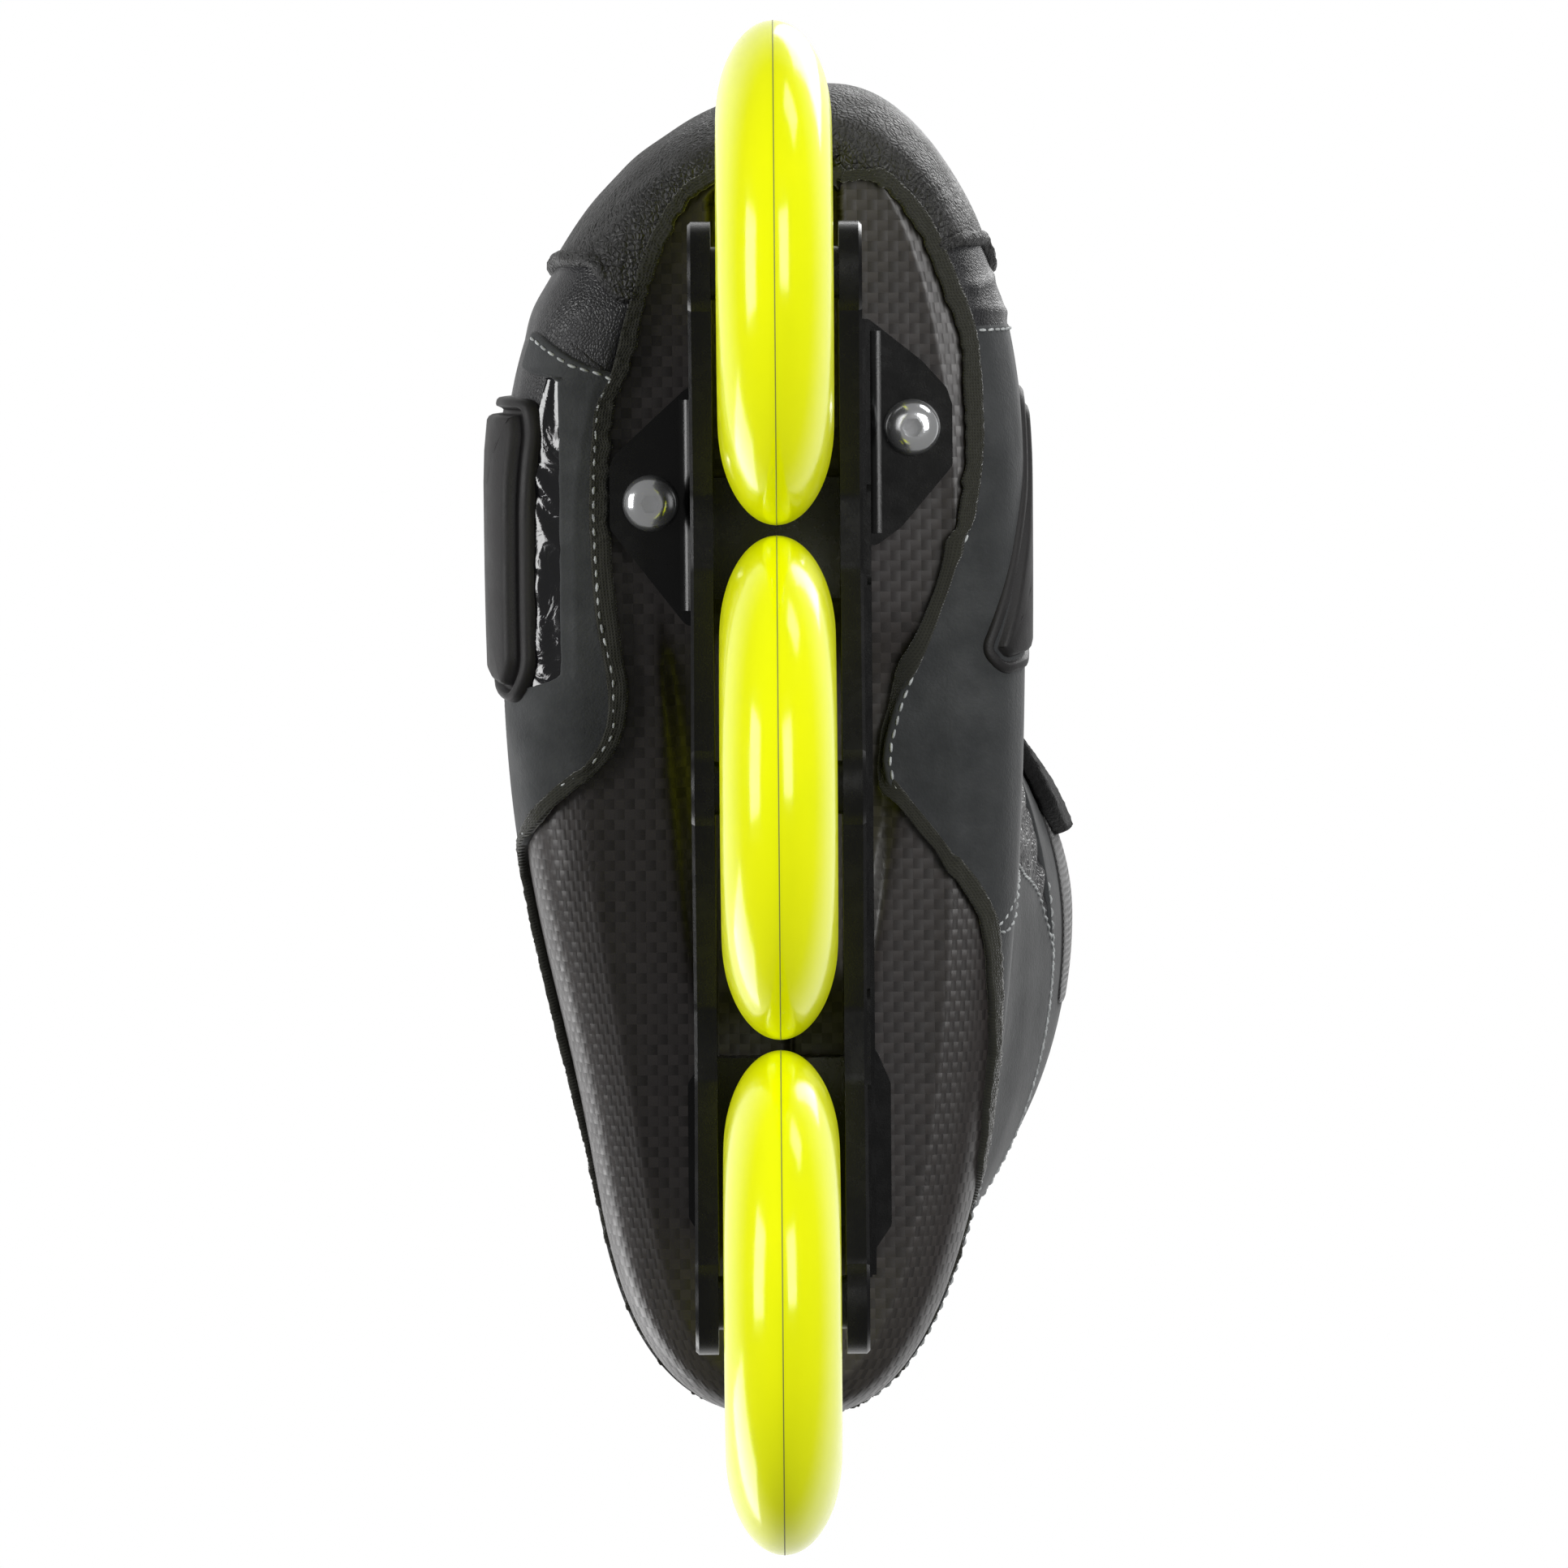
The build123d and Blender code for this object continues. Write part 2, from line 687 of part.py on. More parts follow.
lateral_pad_outline = [(-87, 8), (-80, 5), (-40, 5), (-19, 12), (-21, 38), (-34, 49), (-78, 47), (-87, 38)]
medial_pad_outline = [(-89, 28), (-84, 23), (-34, 5), (-26, 7), (-28, 34), (-38, 44), (-80, 50), (-89, 44)]
applied("lateral_pad", lateral_pad_thickness, side_region(lateral_pad_outline, -100, 0))
applied("medial_pad", medial_pad_thickness, side_region(medial_pad_outline, 0, 100))
applied("patent_insert", patent_thickness, band(-94, -22, 1.2, 4.6, -100, 0))

strap_high = strap_low + strap_width
strap_plan = [
    (-80, -90),
    (90, -90),
    (90, strap_end_y),
    (20, strap_end_y),
    (-20, strap_root_y),
    (-80, strap_root_y),
]
catch_region = band(2, strap_end_y + 30, strap_low + 2, strap_high - 2, 0, 100)
applied("strap_catch", catch_thickness, catch_region)

with BuildPart() as ankle_strap:
    add(boot_form(-strap_gap - strap_thickness, 0, boot_height))
    add(boot_form(-strap_gap, 0, boot_height), mode=Mode.SUBTRACT)
    with BuildSketch(sole.offset(strap_low)):
        with BuildLine():
            Polyline(*strap_plan, close=True)
        make_face()
    extrude(amount=strap_width, mode=Mode.INTERSECT)
keep("ankle_strap", ankle_strap.part)


# ---- Eyelets and lace along both edges of the throat ----
def instep_point(x, height, lift):
    """Point over the front of the boot at x and height, lifted off its surface."""
    toe, _, lateral, medial, widest, tip = extremes(height, -lift)
    edge = medial if x > tip else lateral
    share = abs((x - tip) / (edge - tip))
    y = widest + (toe - widest) * sqrt(1 - share**2)
    return sole.from_local_coords(Vector(x, y, height))


eyelet_x = throat_width / 2 + 6.0
eyelet_low = 81.0
eyelet_step = 7.0
eyelet_lift = 0.7
lace_lift = eyelet_lift + eyelet_height + lace_radius + 1.8
eyelet_heights = [eyelet_low + eyelet_step * row for row in range(lace_rows)]


def eyelet_plane(x, height):
    """Plane tangent to the boot at an eyelet."""
    centre = instep_point(x, height, 0)
    up = instep_point(x, height + 3, 0) - instep_point(x, height - 3, 0)
    along = instep_point(x + 3, height, 0) - instep_point(x - 3, height, 0)
    return Plane(origin=centre, x_dir=along, z_dir=along.cross(up))


with BuildPart() as eyelets:
    for height in eyelet_heights:
        for x in (throat_x - eyelet_x, throat_x + eyelet_x):
            with BuildSketch(eyelet_plane(x, height).offset(eyelet_lift)):
                Circle(eyelet_radius)
                Circle(eyelet_hole, mode=Mode.SUBTRACT)
            extrude(amount=eyelet_height)
keep("eyelets", eyelets.part)

lace_points = []
for row, height in enumerate(eyelet_heights):
    reach = eyelet_x if row % 2 else -eyelet_x
    if row:
        lace_points.append(instep_point(throat_x, height - eyelet_step / 2, lace_lift))
    lace_points.append(instep_point(throat_x + reach, height, lace_lift))
with BuildPart() as lace:
    with BuildLine():
        lace_path = Spline(*lace_points)
    with BuildSketch(Plane(origin=lace_path @ 0, z_dir=lace_path % 0)):
        Circle(lace_radius)
    sweep()
keep("lace", lace.part)

# ---- Webbing pull loop at the back of the cuff ----
loop_low = 150.0
loop_high = 186.0
loop_ends = [(extremes(h, -loop_thickness / 2 - 0.7)[1], h) for h in (loop_low, loop_high)]
loop_out = max(y for y, _ in loop_ends) + loop_reach
with BuildPart() as pull_loop:
    with BuildSketch(side.offset(heel_x - loop_width / 2)):
        with BuildLine():
            Spline(
                loop_ends[0],
                (loop_out, loop_low + 14),
                (loop_out, loop_high - 14),
                loop_ends[1],
                tangents=[(0.4, 1), (-0.4, 1)],
            )
        trace(line_width=loop_thickness)
    extrude(amount=loop_width)
keep("pull_loop", pull_loop.part)

os.makedirs("parts", exist_ok=True)
for name, part in parts.items():
    export_step(part, f"parts/{name}.step")
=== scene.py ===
import math
import random

import bmesh
import bpy
import numpy as np
from mathutils import Matrix, Vector


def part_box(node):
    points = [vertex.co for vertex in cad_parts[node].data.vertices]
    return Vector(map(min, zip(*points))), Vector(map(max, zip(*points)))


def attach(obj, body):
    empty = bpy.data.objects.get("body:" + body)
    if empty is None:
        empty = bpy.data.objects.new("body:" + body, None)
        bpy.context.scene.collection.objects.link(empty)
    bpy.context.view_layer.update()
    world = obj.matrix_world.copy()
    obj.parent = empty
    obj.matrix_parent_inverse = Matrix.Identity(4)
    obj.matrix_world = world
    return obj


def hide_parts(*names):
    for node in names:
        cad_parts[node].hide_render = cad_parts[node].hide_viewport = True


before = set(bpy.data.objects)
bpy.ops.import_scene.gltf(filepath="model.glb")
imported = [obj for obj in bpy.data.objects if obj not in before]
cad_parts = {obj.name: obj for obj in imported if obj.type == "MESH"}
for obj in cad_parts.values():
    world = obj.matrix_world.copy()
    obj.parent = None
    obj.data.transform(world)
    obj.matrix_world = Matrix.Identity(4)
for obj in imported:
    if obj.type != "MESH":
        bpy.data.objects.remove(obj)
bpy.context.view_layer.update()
random.seed(4)
mm = 0.001

# the boot's form, in millimetres: y along the sole, h above it
tyreLow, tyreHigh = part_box("middle_wheel_tyre")
wheelRadius = (tyreHigh.z - tyreLow.z) / 2 / mm
axleSpacing = (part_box("rear_axle")[0].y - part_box("middle_axle")[0].y) / mm
soleHeight = 2 * wheelRadius
soleTilt = math.atan(0.0638)

boot = {
    "toeY": -156.0,
    "heelY": 144.0,
    "lateralX": -61.0,
    "medialX": 55.0,
    "top": 190.0,
    "spineX": 2.0,
    "spineReach": 40.0,  # girth from the sole's edge to its middle line
    "frontPower": 2.0,
    "waistY": 78.0,
    "waistReach": 52.0,
    "throatX": 4.0,
    "throatHalf": 13.0,
}
# height, inset at toe, heel, lateral, medial, widest y, tip x, squareness of the heel, waist on the lateral side
bootRows = [
    (0, 13, 8, 16, 15, -55, 12, 2.7, 0.13),
    (3, 8, 4, 8, 7, -60, 12, 2.7, 0.13),
    (8, 4.5, 2, 3.5, 3, -63, 12, 2.7, 0.13),
    (16, 1.5, 0.5, 1, 0.5, -66, 12, 2.7, 0.13),
    (28, 0, 0, 0, 0, -68, 12, 2.7, 0.13),
    (45, 6, 1, 3, 1, -55, 12, 2.6, 0.13),
    (58, 21, 3, 5, 1, -40, 10, 2.4, 0.09),
    (75, 61, 5, 7, 0, 8, 6, 2.2, 0.04),
    (95, 101, 10, 10, -4, 36, 5, 2.1, 0),
    (115, 123, 14, 9, -9, 42, 5, 2.0, 0),
    (140, 134, 18, 11, -13, 41, 6, 2.0, 0),
    (165, 138, 18, 12, -14, 40, 6, 2.0, 0),
    (190, 140, 16, 13, -14, 39, 6, 2.0, 0),
    (210, 141, 15, 13, -14, 39, 6, 2.0, 0),
]


def smoothCurve(xs, ys):
    # monotone cubic through the points, held flat past both ends
    xs, ys = np.array(xs, float), np.array(ys, float)
    steps = np.diff(xs)
    slopes = np.diff(ys) / steps
    tangents = np.zeros(len(xs))
    tangents[0], tangents[-1] = slopes[0], slopes[-1]
    for i in range(1, len(xs) - 1):
        if slopes[i - 1] * slopes[i] > 0:
            tangents[i] = 2 * slopes[i - 1] * slopes[i] / (slopes[i - 1] + slopes[i])

    def curve(x):
        x = np.clip(np.asarray(x, float), xs[0], xs[-1])
        i = np.clip(np.searchsorted(xs, x, side="right") - 1, 0, len(xs) - 2)
        t = (x - xs[i]) / steps[i]
        low = (1 + 2 * t) * (1 - t) ** 2 * ys[i] + t * (1 - t) ** 2 * steps[i] * tangents[i]
        high = t * t * (3 - 2 * t) * ys[i + 1] + t * t * (t - 1) * steps[i] * tangents[i + 1]
        return low + high

    return curve


girths = [0.0]
for lower, upper in zip(bootRows[:-1], bootRows[1:]):
    girths.append(girths[-1] + math.hypot(upper[0] - lower[0], upper[3] - lower[3]))
rowCurves = [smoothCurve(girths, [row[column] for row in bootRows]) for column in range(9)]
girthAtHeight = smoothCurve([row[0] for row in bootRows], girths)


def bootLimits(girth):
    girth = np.maximum(girth, 0)
    height, toeIn, heelIn, lateralIn, medialIn, widest, tip = [curve(girth) for curve in rowCurves[:7]]
    return (
        height,
        boot["toeY"] + toeIn,
        boot["heelY"] - heelIn,
        boot["lateralX"] + lateralIn,
        boot["medialX"] - medialIn,
        widest,
        tip,
    )


def heelPower(girth):
    return rowCurves[7](np.maximum(girth, 0))


def waistShare(y, girth):
    pinch = rowCurves[8](np.maximum(girth, 0))
    return 1 - pinch * np.exp(-(((y - boot["waistY"]) / boot["waistReach"]) ** 2))


def turnOf(y, girth, side):
    # the turn at which the form passes y on one side
    _, toe, heel, _, _, widest, _ = bootLimits(girth)
    atFront = y < widest
    power = np.where(atFront, boot["frontPower"], heelPower(girth))
    share = np.clip((y - widest) / (np.where(atFront, toe, heel) - widest), 0, 1)
    part = np.arccos(share ** (power / 2)) / (math.pi / 2)
    turn = np.where(atFront, part, 2 - part)
    return turn if side > 0 else 4 - turn


def soleRelief(x, y):
    # height of the sole's underside over its plane: hollows beside the rails, arches over the wheels
    side = np.abs(x)
    hollowEdge = np.where(x < 0, 26 - (y + 38) * 0.1, 25 - (y - 1) * 0.15)
    along = 1 / (1 + np.exp(-(y + 30) / 3)) / (1 + np.exp((y - 46) / 3))
    hollow = 4.5 * along / (1 + np.exp((side - hollowEdge) / 0.7))
    lift = hollow + 0.00004 * np.maximum(side - 20, 0) ** 3
    for wheelY in (-axleSpacing, 0.0):
        reach = np.clip(58**2 - (y - wheelY) ** 2, 0, None)
        arch = np.sqrt(reach) + wheelRadius - (soleHeight + 0.0638 * y)
        lift = np.maximum(lift, np.where(side < 14.5, arch, -5))
    return lift


def tilted(x, y, h):
    points = np.stack(np.broadcast_arrays(x, y, h), -1).astype(float)
    cosTilt, sinTilt = math.cos(soleTilt), math.sin(soleTilt)
    ahead, up = points[..., 1].copy(), points[..., 2].copy()
    points[..., 1] = ahead * cosTilt - up * sinTilt
    points[..., 2] = soleHeight + ahead * sinTilt + up * cosTilt
    return points


def ringPoint(turn, girth):
    # turn 0 at the toe tip, 1 medial, 2 heel, 3 lateral; girth below 0 runs under the sole to its spine
    turn, girth = np.broadcast_arrays(np.asarray(turn, float), np.asarray(girth, float))
    height, toe, heel, lateral, medial, widest, tip = bootLimits(girth)
    turn = np.mod(turn, 4)
    quarter = np.floor(turn).astype(int)
    part = turn - quarter
    angle = np.where(quarter % 2 == 0, part, 1 - part) * math.pi / 2
    atFront = (quarter == 0) | (quarter == 3)
    power = np.where(atFront, boot["frontPower"], heelPower(girth))
    centre = np.where(atFront, tip, boot["spineX"])
    edge = np.where(quarter < 2, medial, lateral)
    end = np.where(atFront, toe, heel)
    y = widest + (end - widest) * np.abs(np.cos(angle)) ** (2 / power)
    waist = np.where(quarter == 2, waistShare(y, girth), 1)
    x = centre + (edge - centre) * np.abs(np.sin(angle)) ** (2 / power) * waist
    share = 1 + np.minimum(girth, 0) / boot["spineReach"]
    spineY = np.clip(y, -112, 108)
    x = boot["spineX"] + (x - boot["spineX"]) * share
    y = spineY + (y - spineY) * share
    height = np.where(girth < 0, soleRelief(x, y) * np.clip(-girth / 4, 0, 1), height)
    return x, y, height


def slicePoint(y, girth, side):
    # the same form by y: side 1 is medial, -1 lateral
    y, girth = np.broadcast_arrays(np.asarray(y, float), np.asarray(girth, float))
    height, toe, heel, lateral, medial, widest, tip = bootLimits(girth)
    atFront = y < widest
    power = np.where(atFront, boot["frontPower"], heelPower(girth))
    centre = np.where(atFront, tip, boot["spineX"])
    end = np.where(atFront, toe, heel)
    edge = medial if side > 0 else lateral
    along = np.clip((y - widest) / (end - widest), 0, 1)
    waist = 1 if side > 0 else np.where(atFront, 1, waistShare(y, girth))
    x = centre + (edge - centre) * (1 - along**power) ** (1 / power) * waist
    share = 1 + np.minimum(girth, 0) / boot["spineReach"]
    x = boot["spineX"] + (x - boot["spineX"]) * share
    height = np.where(girth < 0, 0.0, height)
    return x, y, height


def girthAtX(y, x, side):
    # lowest girth on one side where the slice at y reaches x
    tries = np.linspace(-boot["spineReach"] + 1, 60, 1200)
    reached = slicePoint(y, tries, side)[0] * side
    past = np.nonzero(reached >= x * side)[0]
    return tries[past[0]] if len(past) else tries[int(np.argmax(reached))]


# where the uppers end over the carbon sole: (y, x) down each side, past the form where the carbon cup stands high
edgeLateral = [(-138, -8), (-133, -18), (-118, -27), (-104, -31.5), (-93, -34), (-84, -38), (-62, -39), (-40, -38)]
edgeLateral += [(-22, -34.8), (-14, -34.8), (-6, -39.5), (0, -47), (8, -54), (16, -58), (24, -70), (120, -70), (138, -70)]
edgeMedial = [(-141, 15), (-136, 23), (-126, 32), (-117, 36), (-97, 42.5), (-79, 43.3), (-59, 41.3), (-49, 37.5)]
edgeMedial += [(-31, 31), (-16, 25.2), (-6, 23.2), (-1, 24), (5, 29), (15, 36.6), (24, 43), (33, 46.3), (51, 47)]
edgeMedial += [(78, 45.5), (94, 43.5), (107, 41.5), (122, 38), (131, 34), (139, 30)]
edgeX = {-1: smoothCurve(*zip(*edgeLateral)), 1: smoothCurve(*zip(*edgeMedial))}
cupHeight = 27.0


def edgeGirthAt(y, side):
    return min(girthAtX(y, float(edgeX[side](y)), side), float(girthAtHeight(cupHeight)))


def carbonEdge():
    # the same edge by turn, for pieces that run round the toe or the heel
    found = []
    for side, points in ((-1, edgeLateral), (1, edgeMedial)):
        for y in np.linspace(points[0][0], points[-1][0], 110):
            girth = edgeGirthAt(y, side)
            found.append((float(turnOf(y, girth, side)) % 4, girth))
    found.append((2.0, float(girthAtHeight(cupHeight))))
    found.sort()
    found = [(found[-1][0] - 4, found[-1][1])] + found + [(found[0][0] + 4, found[0][1])]
    knownTurns, knownGirths = np.array(found).T
    evenTurns = np.linspace(0, 4, 401)
    values = np.interp(evenTurns, knownTurns, knownGirths)[:-1]
    for _ in range(2):
        values = (np.roll(values, 1) + 2 * values + np.roll(values, -1)) / 4
    values = np.append(values, values[0])

    def edgeAt(turn):
        return np.interp(np.mod(turn, 4), evenTurns, values)

    return edgeAt


carbonGirth = carbonEdge()
print("boot form ready")


# mesh helpers
def newPiece(name, vertices, faces, material, body="root", uvs=None, smooth=True):
    mesh = bpy.data.meshes.new(name)
    mesh.from_pydata([tuple(v) for v in vertices], [], faces)
    mesh.validate()
    if uvs is not None:
        layer = mesh.uv_layers.new(name="UVMap")
        loops = np.zeros(len(mesh.loops), int)
        mesh.loops.foreach_get("vertex_index", loops)
        layer.data.foreach_set("uv", np.asarray(uvs, float)[loops].ravel())
    mesh.materials.append(material)
    piece = bpy.data.objects.new(name, mesh)
    bpy.context.scene.collection.objects.link(piece)
    if smooth:
        mesh.polygons.foreach_set("use_smooth", [True] * len(mesh.polygons))
    if body:
        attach(piece, body)
    return piece


def ringFaces(rings, count, closed=False, capped=False, first=0):
    # quads between rings of count points; closed joins the last ring to the first, capped fills both ends
    faces = []
    for i in range(rings if closed else rings - 1):
        n = (i + 1) % rings
        for j in range(count):
            m = (j + 1) % count
            faces.append((first + i * count + j, first + i * count + m, first + n * count + m, first + n * count + j))
    if capped:
        faces.append(tuple(first + j for j in reversed(range(count))))
        faces.append(tuple(first + (rings - 1) * count + j for j in range(count)))
    return faces


def gridNormals(points, outward):
    normals = np.cross(np.gradient(points, axis=0), np.gradient(points, axis=1))
    length = np.linalg.norm(normals, axis=-1, keepdims=True)
    normals = normals / np.maximum(length, 1e-9)
    middle = normals[normals.shape[0] // 2, normals.shape[1] // 2]
    if np.dot(middle, outward) < 0:
        normals = -normals
    for _ in range(2):  # even out the odd direction at pinched corners
        weak = length[..., 0] < 1e-6
        if weak.any():
            normals[1:][weak[1:]] = normals[:-1][weak[1:]]
    return normals


def borderSteps(length, count, rim):
    # positions from 0 to 1 with close steps for a rounded rim at both ends
    close = [0.0, 0.12 * rim, 0.35 * rim, 0.7 * rim, 1.1 * rim]
    start = [step / length for step in close]
    middle = list(np.linspace(start[-1], 1 - start[-1], max(count, 3)))[1:-1]
    return np.array(start + middle + [1 - step for step in reversed(start)])


def edgeRound(points, rim, wrap):
    # 0 at the grid's open borders, rising to 1 one rim inside them
    def fromEnds(axis):
        steps = np.linalg.norm(np.diff(points, axis=axis), axis=-1)
        fromStart = np.concatenate([np.zeros_like(np.take(steps, [0], axis)), np.cumsum(steps, axis)], axis)
        whole = np.take(fromStart, [-1], axis)
        return np.minimum(fromStart, whole - fromStart)

    near = fromEnds(1)
    if not wrap:
        near = np.minimum(near, fromEnds(0))
    share = np.clip(near / rim, 0, 1)
    return np.sqrt(np.clip(1 - (1 - share) ** 2, 0, 1))


def shellMesh(points, outward, lift, thick, rim, wrap=False, normals=None):
    # closed skin over a grid of points: outside at lift, inside thick below it, rounded borders
    if normals is None:
        if wrap:
            padded = np.concatenate([points[-1:], points, points[:1]], 0)
            normals = gridNormals(padded, outward)[1:-1]
        else:
            normals = gridNormals(points, outward)
    rows, columns = points.shape[:2]
    rounding = edgeRound(points, rim, wrap)[..., None]
    inside = points + normals * (np.asarray(lift)[..., None] if np.ndim(lift) else lift) - normals * thick
    outside = inside + normals * thick * (0.35 + 0.65 * rounding)
    vertices = np.concatenate([outside.reshape(-1, 3), inside.reshape(-1, 3)])
    total = rows * columns
    faces = []
    lastRow = rows if wrap else rows - 1
    for i in range(lastRow):
        k = (i + 1) % rows
        for j in range(columns - 1):
            a, b, c, d = i * columns + j, k * columns + j, k * columns + j + 1, i * columns + j + 1
            faces.append((a, b, c, d))
            faces.append((total + d, total + c, total + b, total + a))
        for j in (0, columns - 1):
            a, b = i * columns + j, k * columns + j
            faces.append((b, a, total + a, total + b) if j == 0 else (a, b, total + b, total + a))
    if not wrap:
        for j in range(columns - 1):
            a, b = j, j + 1
            faces.append((a, b, total + b, total + a))
            a, b = (rows - 1) * columns + j, (rows - 1) * columns + j + 1
            faces.append((b, a, total + a, total + b))
    return vertices, faces, outside, normals


def gridUv(points):
    rows = points.shape[0]
    acrossSteps = np.linalg.norm(np.diff(points, axis=1), axis=-1)
    across = np.concatenate([np.zeros((rows, 1)), np.cumsum(acrossSteps, 1)], 1)
    return np.stack([points[..., 1], across], -1)


def tidyNormals(piece):
    mesh = bmesh.new()
    mesh.from_mesh(piece.data)
    bmesh.ops.remove_doubles(mesh, verts=mesh.verts, dist=1e-6)
    bmesh.ops.dissolve_degenerate(mesh, dist=1e-7, edges=mesh.edges)
    bmesh.ops.recalc_face_normals(mesh, faces=mesh.faces)
    mesh.to_mesh(piece.data)
    mesh.free()


def skinPiece(
    name, local, material, lift, thick, rim, wrap=False, outward=(0, 0, -1), body="root", wobble=None, uv=None
):
    # a piece of the boot from a grid of (x, y, h) in millimetres
    points = tilted(*local)
    if wobble is not None:
        lift = lift + wobble
    vertices, faces, outside, normals = shellMesh(points, np.array(outward, float), lift, thick, rim, wrap)
    flat = gridUv(points) if uv is None else uv
    uvs = np.concatenate([flat.reshape(-1, 2)] * 2) * mm
    piece = newPiece(name, vertices * mm, faces, material, body, uvs)
    tidyNormals(piece)
    return piece, outside, normals


def lineInside(outside, normals, border, inset):
    # points a set distance inside one border of a piece's grid
    if border in ("low", "high"):
        grid, lines = outside, normals
    else:
        grid, lines = outside.transpose(1, 0, 2), normals.transpose(1, 0, 2)
    if border in ("high", "end"):
        grid, lines = grid[:, ::-1], lines[:, ::-1]
    line, ups = [], []
    for row, up in zip(grid, lines):
        walked = np.concatenate([[0], np.cumsum(np.linalg.norm(np.diff(row, axis=0), axis=1))])
        line.append([np.interp(inset, walked, row[:, k]) for k in range(3)])
        ups.append(up[min(int(np.searchsorted(walked, inset)), len(up) - 1)])
    return np.array(line), np.array(ups)


thread = {"pitch": 3.1, "length": 2.2, "radius": 0.36, "skipEnds": 2.0, "bow": 0.28, "skew": 0.25}
stitchRuns = []


def stitch(line, ups):
    # even stitches along a line, kept for one thread piece
    walked = np.concatenate([[0], np.cumsum(np.linalg.norm(np.diff(line, axis=0), axis=1))])
    at, length = thread["skipEnds"], thread["length"]
    while at + length < walked[-1] - thread["skipEnds"]:
        ends = []
        for along in (at, at + length / 2, at + length):
            point = np.array([np.interp(along, walked, line[:, k]) for k in range(3)])
            up = np.array([np.interp(along, walked, ups[:, k]) for k in range(3)])
            ends.append((point, up / np.linalg.norm(up)))
        stitchRuns.append(ends)
        at += thread["pitch"]


def sewBorders(outside, normals, insets):
    for border, inset in insets:
        stitch(*lineInside(outside, normals, border, inset))


def sewAll(name, material):
    # every stitch is a small bowed capsule, a little askew
    vertices, faces = [], []
    sides, profile = 6, [(0.0, 0.25), (0.12, 0.8), (0.5, 1.0), (0.88, 0.8), (1.0, 0.25)]
    for (a, _), (m, upM), (b, _) in stitchRuns:
        along = b - a
        along = along / np.linalg.norm(along)
        upM = upM - along * np.dot(upM, along)
        upM = upM / np.linalg.norm(upM)
        across = np.cross(along, upM)
        skew = random.uniform(-thread["skew"], thread["skew"])
        first = len(vertices)
        for t, width in profile:
            centre = a * (1 - t) + b * t + (m - (a + b) / 2) * 4 * t * (1 - t)
            centre = centre + upM * (thread["bow"] * math.sin(math.pi * t) - 0.05) + across * skew * (t - 0.5)
            for k in range(sides):
                turn = 2 * math.pi * k / sides
                spoke = across * math.cos(turn) + upM * math.sin(turn)
                vertices.append(centre + spoke * thread["radius"] * width)
        faces += ringFaces(len(profile), sides, capped=True, first=first)
    return newPiece(name, np.array(vertices) * mm, faces, material)


# materials
class Finish:
    # a node material with short calls for what the finishes share
    def __init__(self, name, colour, roughness, **sockets):
        self.material = bpy.data.materials.new(name)
        self.material.use_nodes = True
        self.tree = self.material.node_tree
        self.shader = self.tree.nodes["Principled BSDF"]
        self.shader.inputs["Base Color"].default_value = (*colour, 1)
        self.shader.inputs["Roughness"].default_value = roughness
        for socket, value in sockets.items():
            self.shader.inputs[socket.replace("_", " ")].default_value = value
        self.bumpFrom = None

    def node(self, kind, **settings):
        made = self.tree.nodes.new(kind)
        for key, value in settings.items():
            if key in made.inputs:
                made.inputs[key].default_value = value
            else:
                setattr(made, key, value)
        return made

    def link(self, out, into):
        self.tree.links.new(out, into)

    def place(self, source="Object", scale=(1, 1, 1), turn=(0, 0, 0)):
        coordinates = self.node("ShaderNodeTexCoord")
        mapping = self.node("ShaderNodeMapping")
        mapping.inputs["Scale"].default_value = scale
        mapping.inputs["Rotation"].default_value = turn
        self.link(coordinates.outputs[source], mapping.inputs["Vector"])
        return mapping.outputs["Vector"]

    def noise(self, size, detail=3.0, source="Object", scale=(1, 1, 1), rough=0.5, distortion=0.0):
        made = self.node("ShaderNodeTexNoise", Scale=1 / size, Detail=detail, Roughness=rough, Distortion=distortion)
        self.link(self.place(source, scale), made.inputs["Vector"])
        return made.outputs["Fac"]

    def cells(self, size, feature="F1", source="Object", scale=(1, 1, 1), randomness=1.0):
        made = self.node("ShaderNodeTexVoronoi", feature=feature, Scale=1 / size, Randomness=randomness)
        self.link(self.place(source, scale), made.inputs["Vector"])
        return made.outputs["Distance"]

    def maths(self, operation, a, b=None, c=None):
        made = self.node("ShaderNodeMath", operation=operation)
        for slot, value in enumerate((a, b, c)):
            if value is None:
                continue
            if isinstance(value, (int, float)):
                made.inputs[slot].default_value = value
            else:
                self.link(value, made.inputs[slot])
        return made.outputs[0]

    def spread(self, value, low, high, toLow=0.0, toHigh=1.0):
        made = self.node("ShaderNodeMapRange")
        for socket, number in (("From Min", low), ("From Max", high), ("To Min", toLow), ("To Max", toHigh)):
            made.inputs[socket].default_value = number
        self.link(value, made.inputs["Value"])
        return made.outputs["Result"]

    def blendColour(self, share, first, second):
        made = self.node("ShaderNodeMix", data_type="RGBA")
        self.link(share, made.inputs[0])
        for slot, colour in ((6, first), (7, second)):
            if isinstance(colour, tuple):
                made.inputs[slot].default_value = (*colour, 1)
            else:
                self.link(colour, made.inputs[slot])
        return made.outputs[2]

    def colour(self, value):
        self.link(value, self.shader.inputs["Base Color"])

    def roughness(self, value):
        self.link(value, self.shader.inputs["Roughness"])

    def bump(self, height, distance, strength=1.0):
        made = self.node("ShaderNodeBump", Distance=distance, Strength=strength)
        self.link(height, made.inputs["Height"])
        if self.bumpFrom is not None:
            self.link(self.bumpFrom, made.inputs["Normal"])
        self.bumpFrom = made.outputs["Normal"]
        self.link(self.bumpFrom, self.shader.inputs["Normal"])


